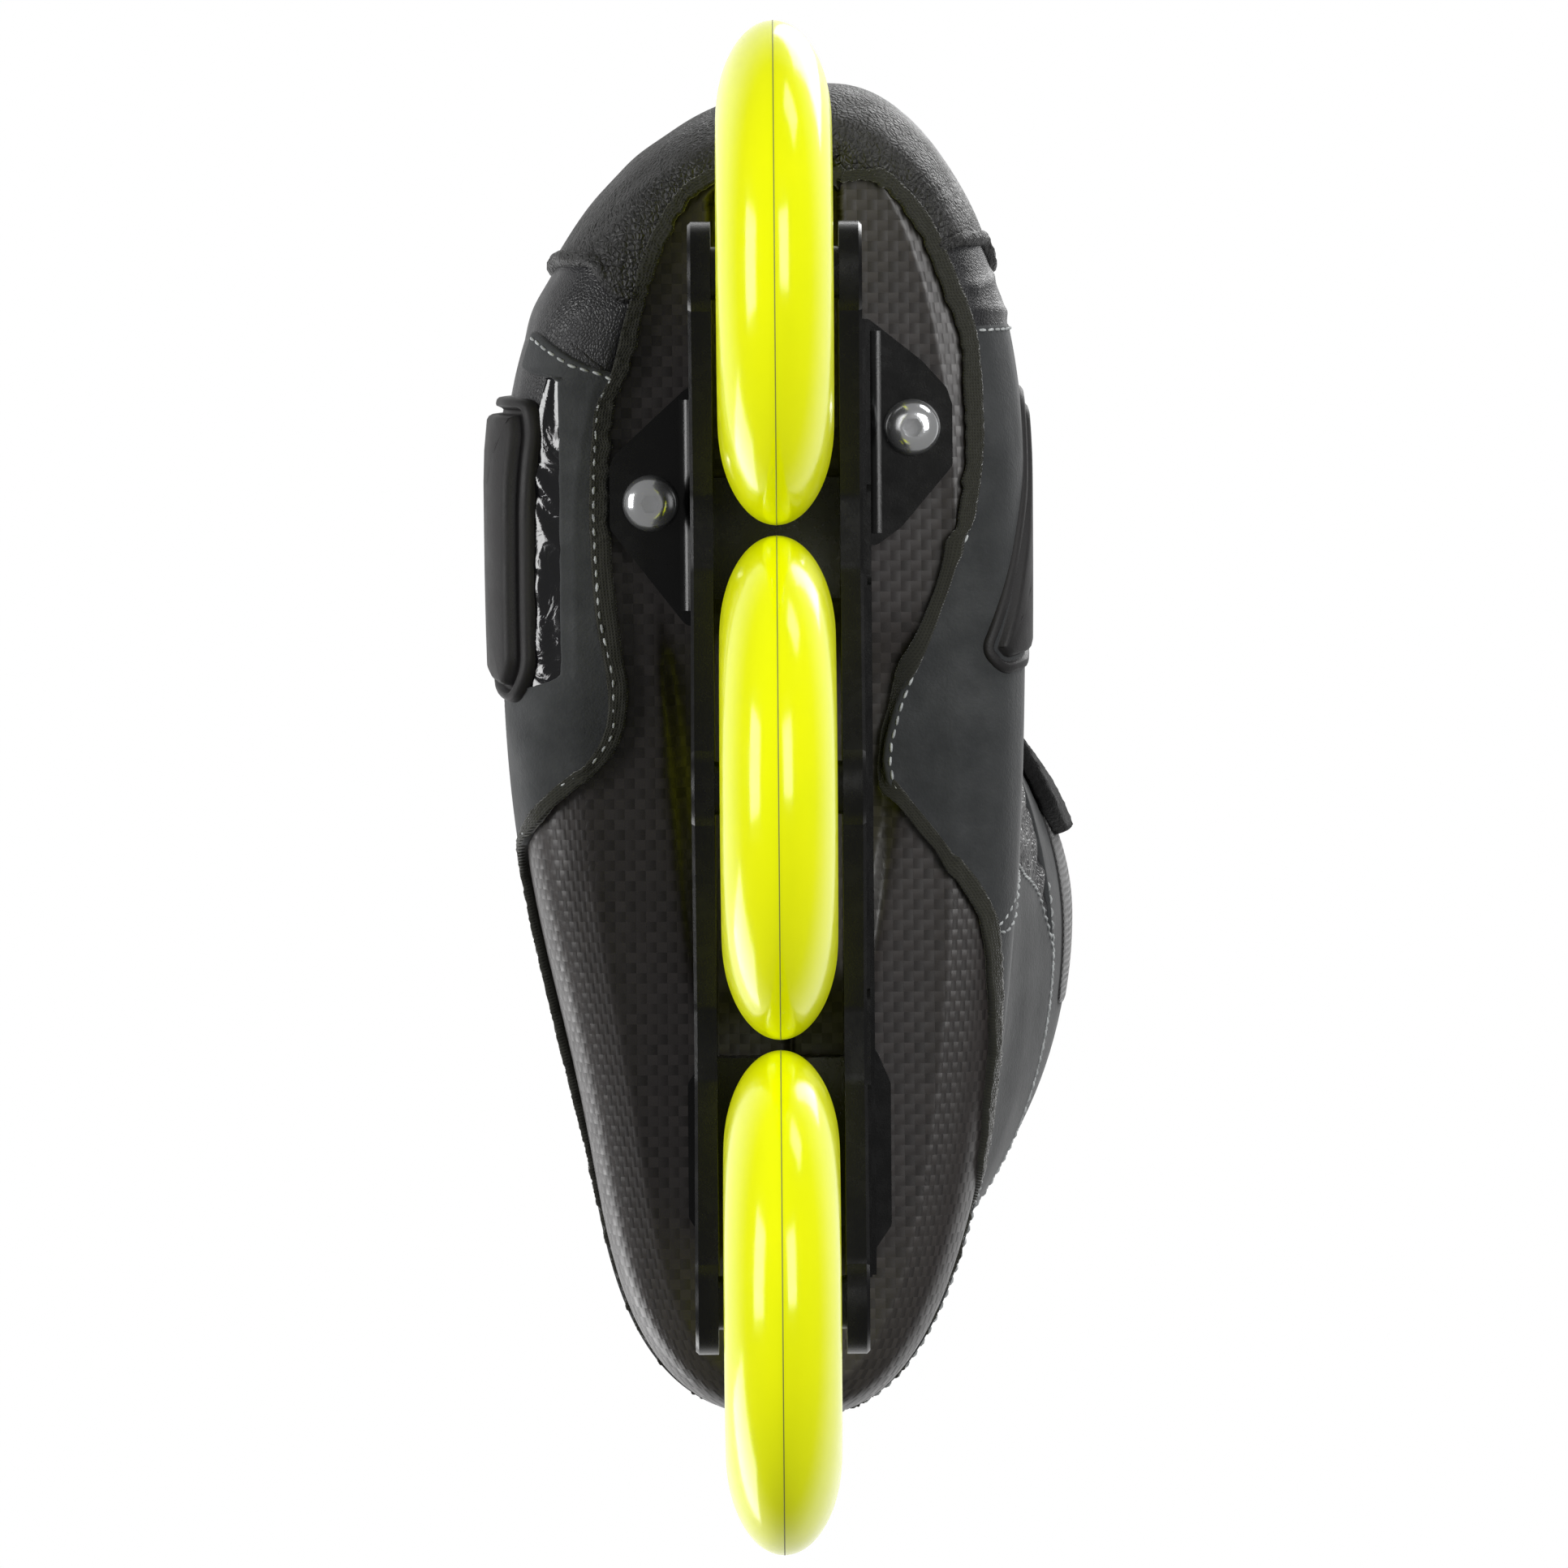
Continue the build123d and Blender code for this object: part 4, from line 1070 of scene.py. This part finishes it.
def throatTurn(girth, side):
    # turn where the front of the cuff meets the throat's edge
    _, _, _, lateral, medial, _, tip = bootLimits(girth)
    edge = medial if side > 0 else lateral
    x = boot["throatX"] + side * boot["throatHalf"]
    share = np.clip((x - tip) / (edge - tip), 0, 1)
    angle = np.arcsin(share ** (boot["frontPower"] / 2))
    return angle / (math.pi / 2) if side > 0 else 4 - angle / (math.pi / 2)


cuff = {"low": 105, "thick": 2.6, "backDip": 5}


def makeCuff():
    heights = borderSteps(90, 40, 1.2)
    sweep = borderSteps(420, 150, 1.2)
    top = girthAtHeight(boot["top"])
    guess = girthAtHeight(cuff["low"]) + (top - girthAtHeight(cuff["low"])) * heights
    first, last = throatTurn(guess, 1), throatTurn(guess, -1)
    turns = np.zeros((len(sweep), len(heights)))
    girthRows = np.zeros_like(turns)
    for i, share in enumerate(sweep):
        turn = first + (last - first) * share
        _, y, _ = ringPoint(turn, guess)
        low = girthAtHeight(heightLine(y) - 1.5)
        dip = cuff["backDip"] * np.exp(-(((turn - 2) / 0.5) ** 2))
        turns[i], girthRows[i] = turn, low + (top - dip - low) * heights
    local = ringPoint(turns, girthRows)
    lift, thick = upper["lift"] - 0.5, cuff["thick"]
    piece, outside, normals = skinPiece("ankle_cuff_panel", local, greyNubuck, lift, thick, 1.2, outward=(0, 1, 0))
    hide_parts("ankle_cuff")
    line, ups = lineInside(outside, normals, "low", 2.4)
    plain = int(len(line) * 0.22)  # unsewn over the gusset
    stitch(line[plain:], ups[plain:])
    sewBorders(outside, normals, (("high", 3.0), ("start", 3.0), ("end", 3.0)))


makeToeCap()
makeVamp()
makeToeLip()
makeQuarters()
makeGusset()
makeHeelPanel()
makeCuff()
print("upper ready")


# inside of the boot
def innerRing(turns, girth, inset):
    # the form drawn inward by a set distance, level by level
    x, y, h = ringPoint(turns, girth)
    centreY = np.clip(y, -90, 80)
    away = np.stack([x - boot["spineX"], y - centreY], -1)
    length = np.maximum(np.linalg.norm(away, axis=-1), 1e-6)
    share = np.clip(1 - inset / length, 0.02, 1)
    return boot["spineX"] + away[..., 0] * share, centreY + away[..., 1] * share, h


lining = {"low": 14, "belowTop": 4, "inset": 5.6, "thick": 2.6}


def makeLining():
    turns = np.linspace(0, 4, 260, endpoint=False)
    low, high = girthAtHeight(lining["low"]), girthAtHeight(boot["top"] - lining["belowTop"])
    local = innerRing(turns[:, None], np.linspace(low, high, 70)[None, :], lining["inset"])
    piece, _, _ = skinPiece("boot_lining", local, liningCloth, 0.0, lining["thick"], 0.8, True, outward=(0, -1, 0))
    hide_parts("lining")


collar = {"first": 0.62, "last": 3.38, "inset": 8.0, "stuffing": 5.2, "belowTop": 22, "halfHeight": 25}


def makeCollar():
    # stuffed roll round the inside of the cuff's top
    turns = np.linspace(collar["first"], collar["last"], 150)
    section = np.linspace(0, 2 * math.pi, 28, endpoint=False)
    top = boot["top"]
    xs, ys, hs = [], [], []
    for turn in turns:
        fade = min(1, (turn - collar["first"]) / 0.25, (collar["last"] - turn) / 0.25)
        fade = max(fade, 0.02) ** 0.5
        dip = cuff["backDip"] * math.exp(-(((turn - 2) / 0.5) ** 2))
        for angle in section:
            deep = collar["inset"] + collar["stuffing"] * fade * math.cos(angle)
            rise = (collar["halfHeight"] - dip / 2) * math.sin(angle) * (0.4 + 0.6 * fade)
            h = top - collar["belowTop"] - dip / 2 + rise
            x, y, _ = innerRing(turn, girthAtHeight(h), deep)
            xs.append(float(x))
            ys.append(float(y))
            hs.append(float(h))
    count = len(section)
    points = tilted(np.array(xs), np.array(ys), np.array(hs)).reshape(-1, 3)
    faces = ringFaces(len(turns), count, capped=True)
    uv = np.stack([np.repeat(turns * 90, count), np.tile(section * 10, len(turns))], -1) * mm
    piece = newPiece("collar_roll", points * mm, faces, collarCloth, "root", uv)
    tidyNormals(piece)
    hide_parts("collar_padding")


tongue = {"half": 21.0, "thick": 4.6, "frontY": -92.0, "overCuff": 8, "quilt": 0.5}


def makeTongue():
    # padded tongue under the throat, its top standing over the cuff
    ys = np.linspace(0, 1, 70)
    acrossShare = np.linspace(-1, 1, 34)
    lowGirth, topGirth = crestGirth(tongue["frontY"]), girthAtHeight(boot["top"] + tongue["overCuff"])
    height, toe, _, lateral, medial, widest, tip = bootLimits(lowGirth + (topGirth - lowGirth) * ys)
    x = boot["throatX"] + acrossShare[None, :] * tongue["half"]
    edge = np.where(x > tip[:, None], medial[:, None], lateral[:, None])
    share = np.clip((x - tip[:, None]) / (edge - tip[:, None]), 0, 0.98)
    y = widest[:, None] + (toe - widest)[:, None] * np.sqrt(1 - share**2)
    h = np.repeat(height[:, None], len(acrossShare), 1)
    quilt = tongue["quilt"] * np.abs(np.sin(ys * 34))[:, None] ** 0.5 * (1 - acrossShare[None, :] ** 4)
    local, thick = (x, y, h), tongue["thick"]
    piece, _, _ = skinPiece("tongue_padded", local, tongueCloth, -thick, thick, 2.4, outward=(0, -1, 0), wobble=quilt)
    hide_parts("tongue")


insole = {"top": 15.3, "heelCup": 3.0, "inset": 9.2, "thick": 2.6}


def makeInsole():
    turns = np.linspace(0, 4, 240, endpoint=False)
    shares = np.array([0.0, 0.3, 0.6, 0.85, 0.95, 0.985, 1.0])
    edgeOfBedX, edgeOfBedY, _ = innerRing(turns[:, None], np.full((1, 1), float(girthAtHeight(15))), insole["inset"])
    spineY = np.clip(edgeOfBedY, -100, 90)
    x = boot["spineX"] + (edgeOfBedX - boot["spineX"]) * shares
    y = spineY + (edgeOfBedY - spineY) * shares
    cupped = np.clip((shares - 0.6) / 0.4, 0, 1)[None, :] ** 2 * np.clip((y + 40) / 100, 0, 1)
    local = (x, y, insole["top"] + insole["heelCup"] * cupped)
    piece, _, _ = skinPiece("insole_footbed", local, insoleCloth, 0.0, insole["thick"], 0.8, True, outward=(0, 0, 1))
    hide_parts("insole")


makeLining()
makeCollar()
makeTongue()
makeInsole()
print("inside ready")


# pads, patches
def roundedOutline(points, radius, count):
    # polygon with rounded corners, evenly sampled
    points = np.array(points, float)
    path = []
    total = len(points)
    for i in range(total):
        before, corner, after = points[i - 1], points[i], points[(i + 1) % total]
        toBefore, toAfter = before - corner, after - corner
        cut = min(radius, np.linalg.norm(toBefore) * 0.45, np.linalg.norm(toAfter) * 0.45)
        a = corner + toBefore / np.linalg.norm(toBefore) * cut
        b = corner + toAfter / np.linalg.norm(toAfter) * cut
        for t in np.linspace(0, 1, 9):
            path.append((1 - t) ** 2 * a + 2 * t * (1 - t) * corner + t * t * b)
    path = np.array(path + [path[0]])
    walked = np.concatenate([[0], np.cumsum(np.linalg.norm(np.diff(path, axis=0), axis=1))])
    at = np.linspace(0, walked[-1], count, endpoint=False)
    return np.stack([np.interp(at, walked, path[:, k]) for k in range(2)], -1)


def patchPiece(name, outline, side, rings, material, base=-0.4):
    # a raised patch on one side: outline in (y, girth), rings as (distance inside the outline, lift)
    area = 0.5 * np.sum(outline[:, 0] * np.roll(outline[:, 1], -1) - np.roll(outline[:, 0], -1) * outline[:, 1])
    tangent = np.roll(outline, -1, 0) - np.roll(outline, 1, 0)
    tangent = tangent / np.linalg.norm(tangent, axis=1)[:, None]
    inward = np.stack([-tangent[:, 1], tangent[:, 0]], -1) * np.sign(area)
    centre = outline.mean(0)
    loops, lifts = [outline + inward * rings[0][0]], [base]
    for distance, lift in rings:
        loops.append(outline + inward * distance)
        lifts.append(lift)
    last, lastLift = loops[-1], lifts[-1]
    for share in (0.75, 0.5, 0.28, 0.1):
        loops.append(centre + (last - centre) * share)
        lifts.append(lastLift)
    loops, lifts = np.array(loops), np.array(lifts)
    y, girth = loops[..., 0], loops[..., 1]

    def at(yy, gg):
        return tilted(*slicePoint(yy, gg, side))

    points = at(y, girth)
    normals = np.cross(at(y + 0.4, girth) - at(y - 0.4, girth), at(y, girth + 0.4) - at(y, girth - 0.4))
    normals = normals / np.linalg.norm(normals, axis=-1, keepdims=True)
    if normals[0, 0, 0] * side < 0:
        normals = -normals
    lifted = points + normals * lifts[:, None, None]
    vertices = lifted.reshape(-1, 3)
    faces = ringFaces(len(loops), len(outline), capped=True)
    uv = np.stack([y, girth], -1).reshape(-1, 2) * mm
    piece = newPiece(name, vertices * mm, faces, material, "root", uv)
    tidyNormals(piece)
    return piece


padRings = [(0.0, 0.6), (0.15, 1.6), (0.5, 2.3), (1.0, 2.6), (1.9, 2.65), (2.3, 2.5), (2.6, 1.6), (2.9, 1.3), (3.6, 1.3)]
padRings += [(3.9, 1.7), (4.3, 3.0), (4.8, 3.5), (5.6, 3.75)]
pads = {  # corners as (y, height), and how far the pad's face stands out
    "lateral_pad": {"side": -1, "stand": 5.2, "corners": [(-87, 5), (-80, 3.2), (-26, 3.4), (-18.5, 7)]},
    "medial_pad": {"side": 1, "stand": 2.9, "corners": [(-89, 30), (-86, 22), (-30, 1.5), (-24.5, 4)]},
}
pads["lateral_pad"]["corners"] += [(-22, 30), (-32, 50), (-78, 50), (-87, 44)]
pads["medial_pad"]["corners"] += [(-27, 30), (-38, 40), (-80, 50), (-89, 46)]


def outlineOnForm(corners, radius, count):
    return roundedOutline([(y, girthAtHeight(height)) for y, height in corners], radius, count)


def makePad(name, side, stand, corners):
    rings = [(distance, lift * (stand / padRings[-1][1])) for distance, lift in padRings]
    piece = patchPiece(f"{name}_moulded", outlineOnForm(corners, 5.0, 220), side, rings, padRubber)
    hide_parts(name)


for name, pad in pads.items():
    makePad(name, **pad)


patent = {"frontY": -92, "rearY": -21, "lowX": -46.8, "high": 4.6, "lift": 1.3, "thick": 1.6, "crumple": 0.5}


def makePatent():
    # crumpled strip between the nubuck band and the lateral pad
    ys = np.linspace(patent["frontY"], patent["rearY"], 200)
    rise = np.linspace(0, 1, 34)
    low = np.array([girthAtX(y, patent["lowX"], -1) for y in ys])[:, None]
    high = float(girthAtHeight(patent["high"]))
    x, y, h = slicePoint(ys[:, None], low + (high - low) * rise[None, :], -1)
    crumple = 0.5 * np.sin(y / 2.6 + 2.2 * np.sin(y / 8.1 + rise[None, :] * 3)) * np.sin(rise[None, :] * 3.2 + y / 7)
    crumple += 0.22 * np.sin(y / 1.3 + rise[None, :] * 4 + 1.5 * np.sin(y / 3.9))
    lift, thick, down = patent["lift"], patent["thick"], (-1, 0, -1)
    crumple = crumple * patent["crumple"]
    local = (x, y, h)
    piece, _, _ = skinPiece("patent_insert_strip", local, patentLeather, lift, thick, 0.6, outward=down, wobble=crumple)
    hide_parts("patent_insert")


makePatent()
catchOutline = outlineOnForm([(3, 125), (3, 155), (60, 155), (60, 125)], 5, 140)
catchTape = patchPiece("strap_catch_tape", catchOutline, 1, [(0, 0.7), (0.2, 1.0), (0.6, 1.1)], hookTape)
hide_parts("strap_catch")
print("pads ready")


# ankle strap
strap = {"low": 122.0, "high": 158.0, "gap": 1.5, "thick": 3.6, "endY": 21.0, "rootY": 5.5}


def makeStrap():
    middle = girthAtHeight((strap["low"] + strap["high"]) / 2)
    start, end = -turnOf(strap["rootY"], middle, 1), turnOf(strap["endY"], middle, 1)
    along = borderSteps(190, 120, 1.6)
    rise = borderSteps(36, 26, 1.6)
    turns = (start + (end - start) * along)[:, None] * np.ones(len(rise))[None, :]
    lowGirth, topGirth = girthAtHeight(strap["low"]), girthAtHeight(strap["high"])
    width = np.sqrt(np.clip(1 - np.clip((along - 0.93) / 0.07, 0, 1) ** 2 * 0.75, 0, 1))
    girth = (lowGirth + topGirth) / 2 + (topGirth - lowGirth) / 2 * (rise * 2 - 1)[None, :] * width[:, None]
    fuzz = np.random.RandomState(11).uniform(-0.3, 0.3, girth.shape)
    lift, thick = strap["gap"] + strap["thick"], strap["thick"]
    local, forward = ringPoint(turns, girth), (0, -1, 0)
    piece, _, _ = skinPiece("ankle_strap_pile", local, loopPile, lift, thick, 1.5, False, forward, "ankle_strap", fuzz)
    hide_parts("ankle_strap")


makeStrap()


# laces and pull loop
def tubeMesh(path, ups, width, height, sides=10):
    # flattened tube along a path
    vertices = []
    total = len(path)
    for i in range(total):
        ahead = path[min(i + 1, total - 1)] - path[max(i - 1, 0)]
        ahead = ahead / np.linalg.norm(ahead)
        up = ups[i] - ahead * np.dot(ups[i], ahead)
        up = up / np.linalg.norm(up)
        across = np.cross(ahead, up)
        for k in range(sides):
            turn = 2 * math.pi * k / sides
            vertices.append(path[i] + across * math.cos(turn) * width / 2 + up * math.sin(turn) * height / 2)
    return vertices, ringFaces(total, sides, capped=True)


def instepPoint(x, height):
    _, toe, _, lateral, medial, widest, tip = bootLimits(girthAtHeight(height))
    edge = medial if x > tip else lateral
    return tilted(x, widest + (toe - widest) * math.sqrt(1 - abs((x - tip) / (edge - tip)) ** 2), height)


def instep(x, height, lift):
    # point lifted off the instep, and the way out there
    point = instepPoint(x, height)
    normal = np.cross(instepPoint(x + 0.5, height) - point, instepPoint(x, height + 1) - point)
    normal = normal / np.linalg.norm(normal)
    if normal[1] > 0:
        normal = -normal
    return point + normal * lift, normal


lacing = {"rows": 6, "low": 81.0, "step": 7.0, "reach": 19.0, "width": 4.2, "thick": 1.3}


def makeLace():
    vertices, faces = [], []

    def addRun(knots):
        points = np.array([knot[0] for knot in knots])
        ups = np.array([knot[1] for knot in knots])
        walked = np.concatenate([[0], np.cumsum(np.linalg.norm(np.diff(points, axis=0), axis=1))])
        at = np.linspace(0, walked[-1], 26)
        curves = [smoothCurve(walked, points[:, k]) for k in range(3)]
        path = np.stack([curve(at) for curve in curves], -1)
        upPath = np.stack([np.interp(at, walked, ups[:, k]) for k in range(3)], -1)
        run, runFaces = tubeMesh(path, upPath, lacing["width"], lacing["thick"])
        first = len(vertices)
        vertices.extend(run)
        faces.extend([tuple(first + k for k in face) for face in runFaces])

    x0 = boot["throatX"]
    for row in range(lacing["rows"] - 1):
        height = lacing["low"] + lacing["step"] * row
        for start in (-1, 1):
            over = 1.5 if start > 0 else 0.0
            a = instep(x0 + start * lacing["reach"], height, 1.3)
            b = instep(x0 + start * lacing["reach"] * 0.8, height + 1.6, 2.9)
            c = instep(x0, height + lacing["step"] / 2, 2.9 + over)
            d = instep(x0 - start * lacing["reach"] * 0.8, height + lacing["step"] - 1.6, 2.9)
            e = instep(x0 - start * lacing["reach"], height + lacing["step"], 1.3)
            addRun([a, b, c, d, e])
    for height in (lacing["low"], lacing["low"] + lacing["step"] * (lacing["rows"] - 1)):
        shares = (-1, -0.5, 0, 0.5, 1)
        addRun([instep(x0 + share * lacing["reach"], height, 1.3 + 1.8 * (1 - abs(share))) for share in shares])
    piece = newPiece("lace_crossed", np.array(vertices) * mm, faces, laceCloth)
    tidyNormals(piece)
    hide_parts("lace")


pullLoop = {"low": 150, "high": 186, "bulge": 9.0, "width": 15.6, "thick": 2.0}


def makePullLoop():
    low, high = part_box("pull_loop")
    centreX = (low.x + high.x) / 2 / mm
    heights = np.linspace(pullLoop["low"], pullLoop["high"], 40)
    share = np.linspace(0, 1, 40)
    rootY = boot["heelY"] - 17.6 + 2 * share
    path = tilted(centreX, rootY + pullLoop["bulge"] * np.sin(np.pi * share) ** 0.7, heights)
    ups = np.gradient(path, axis=0)
    outs = np.cross(ups, np.array([1.0, 0, 0]))
    outs = outs / np.linalg.norm(outs, axis=1)[:, None]
    vertices, faces = tubeMesh(path, outs, pullLoop["width"], pullLoop["thick"], 16)
    piece = newPiece("pull_loop_webbing", np.array(vertices) * mm, faces, webbingCloth)
    tidyNormals(piece)
    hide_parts("pull_loop")


makeLace()
makePullLoop()
sewn = sewAll("stitching", stitchThread)
print("trim ready")

# floor, light and camera
studio = {"floorColour": (0.86, 0.86, 0.86), "behind": 1.0, "below": 0.19, "whiteFrom": 0.3, "whiteTo": 0.7}


def makeFloor():
    mesh = bpy.data.meshes.new("studioFloor")
    size = 6.0
    mesh.from_pydata([(-size, -size, 0), (size, -size, 0), (size, size, 0), (-size, size, 0)], [], [(0, 1, 2, 3)])
    floor = bpy.data.objects.new("studioFloor", mesh)
    bpy.context.scene.collection.objects.link(floor)
    finish = Finish("paleFloor", studio["floorColour"], 0.8)
    geometry = finish.node("ShaderNodeNewGeometry")
    clear = finish.node("ShaderNodeBsdfTransparent")
    mixing = finish.node("ShaderNodeMixShader")
    output = finish.tree.nodes["Material Output"]
    finish.link(geometry.outputs["Backfacing"], mixing.inputs[0])
    finish.link(finish.shader.outputs[0], mixing.inputs[1])
    finish.link(clear.outputs[0], mixing.inputs[2])
    finish.link(mixing.outputs[0], output.inputs["Surface"])
    mesh.materials.append(finish.material)
    floor.visible_shadow = False
    floor.visible_glossy = False
    floor.visible_diffuse = False
    floor.visible_transmission = False


def areaLight(name, place, aim, size, watts):
    lamp = bpy.data.lights.new(name, "AREA")
    lamp.shape = "RECTANGLE"
    lamp.size, lamp.size_y = size
    lamp.energy = watts
    light = bpy.data.objects.new(name, lamp)
    bpy.context.scene.collection.objects.link(light)
    light.location = place
    away = (Vector(place) - Vector(aim)).normalized()
    across = Vector((0, 1, 0)).cross(away).normalized()
    light.matrix_world = Matrix((across, away.cross(across), away)).transposed().to_4x4()
    light.location = place
    light.visible_camera = False


def makeWorld():
    world = bpy.data.worlds.new("studioWorld")
    bpy.context.scene.world = world
    world.use_nodes = True
    tree = world.node_tree
    background = tree.nodes["Background"]
    path = tree.nodes.new("ShaderNodeLightPath")
    coordinates = tree.nodes.new("ShaderNodeTexCoord")
    split = tree.nodes.new("ShaderNodeSeparateXYZ")
    ramp = tree.nodes.new("ShaderNodeMapRange")
    ramp.inputs["From Min"].default_value = studio["whiteFrom"]
    ramp.inputs["From Max"].default_value = studio["whiteTo"]
    ramp.inputs["To Min"].default_value = studio["below"]
    ramp.inputs["To Max"].default_value = studio["behind"]
    tree.links.new(coordinates.outputs["Generated"], split.inputs[0])
    tree.links.new(split.outputs["Z"], ramp.inputs["Value"])
    choose = tree.nodes.new("ShaderNodeMix")
    tree.links.new(path.outputs["Is Camera Ray"], choose.inputs[0])
    tree.links.new(ramp.outputs["Result"], choose.inputs[2])
    choose.inputs[3].default_value = 1.0
    background.inputs["Color"].default_value = (1, 1, 1, 1)
    tree.links.new(choose.outputs[0], background.inputs["Strength"])


makeFloor()
makeWorld()
lamps = [  # name, place, aim, size, watts
    ("softboxLeft", (-1.19, -0.16, -0.34), (0, 0, 0.05), (0.6, 0.72), 12),
    ("softboxRight", (0.62, -0.27, -1.0), (0, 0, 0.05), (0.6, 0.72), 12),
    ("toeSoftbox", (0.95, -1.35, 0.1), (0, 0, 0.1), (0.45, 0.7), 6),
    ("topSoftbox", (0.7, -1.1, 1.7), (0, 0, 0.15), (1.2, 1.2), 22),
    ("topFill", (-1.4, 0.9, 1.3), (0, 0, 0.15), (1.0, 1.0), 12),
]
for lamp in lamps:
    areaLight(*lamp)

view = {"lens": 231.5, "distance": 2.2, "right": 0.00116, "forward": -0.0008, "roll": 0.00798}  # a little askew
camera = bpy.data.cameras.new("camera")
camera.sensor_width = 36.0
camera.lens = view["lens"]
camera.clip_end = 50
cameraObject = bpy.data.objects.new("camera", camera)
bpy.context.scene.collection.objects.link(cameraObject)
right = Vector((1, view["roll"], 0)).normalized()
upward = Vector((view["roll"], -1, 0)).normalized()
backward = right.cross(upward)
cameraObject.matrix_world = Matrix(
    (
        (right.x, upward.x, backward.x, view["right"]),
        (right.y, upward.y, backward.y, view["forward"]),
        (right.z, upward.z, backward.z, wheelRadius * mm - view["distance"]),
        (0, 0, 0, 1),
    )
)
bpy.context.scene.camera = cameraObject
bpy.context.scene.view_settings.view_transform = "Standard"
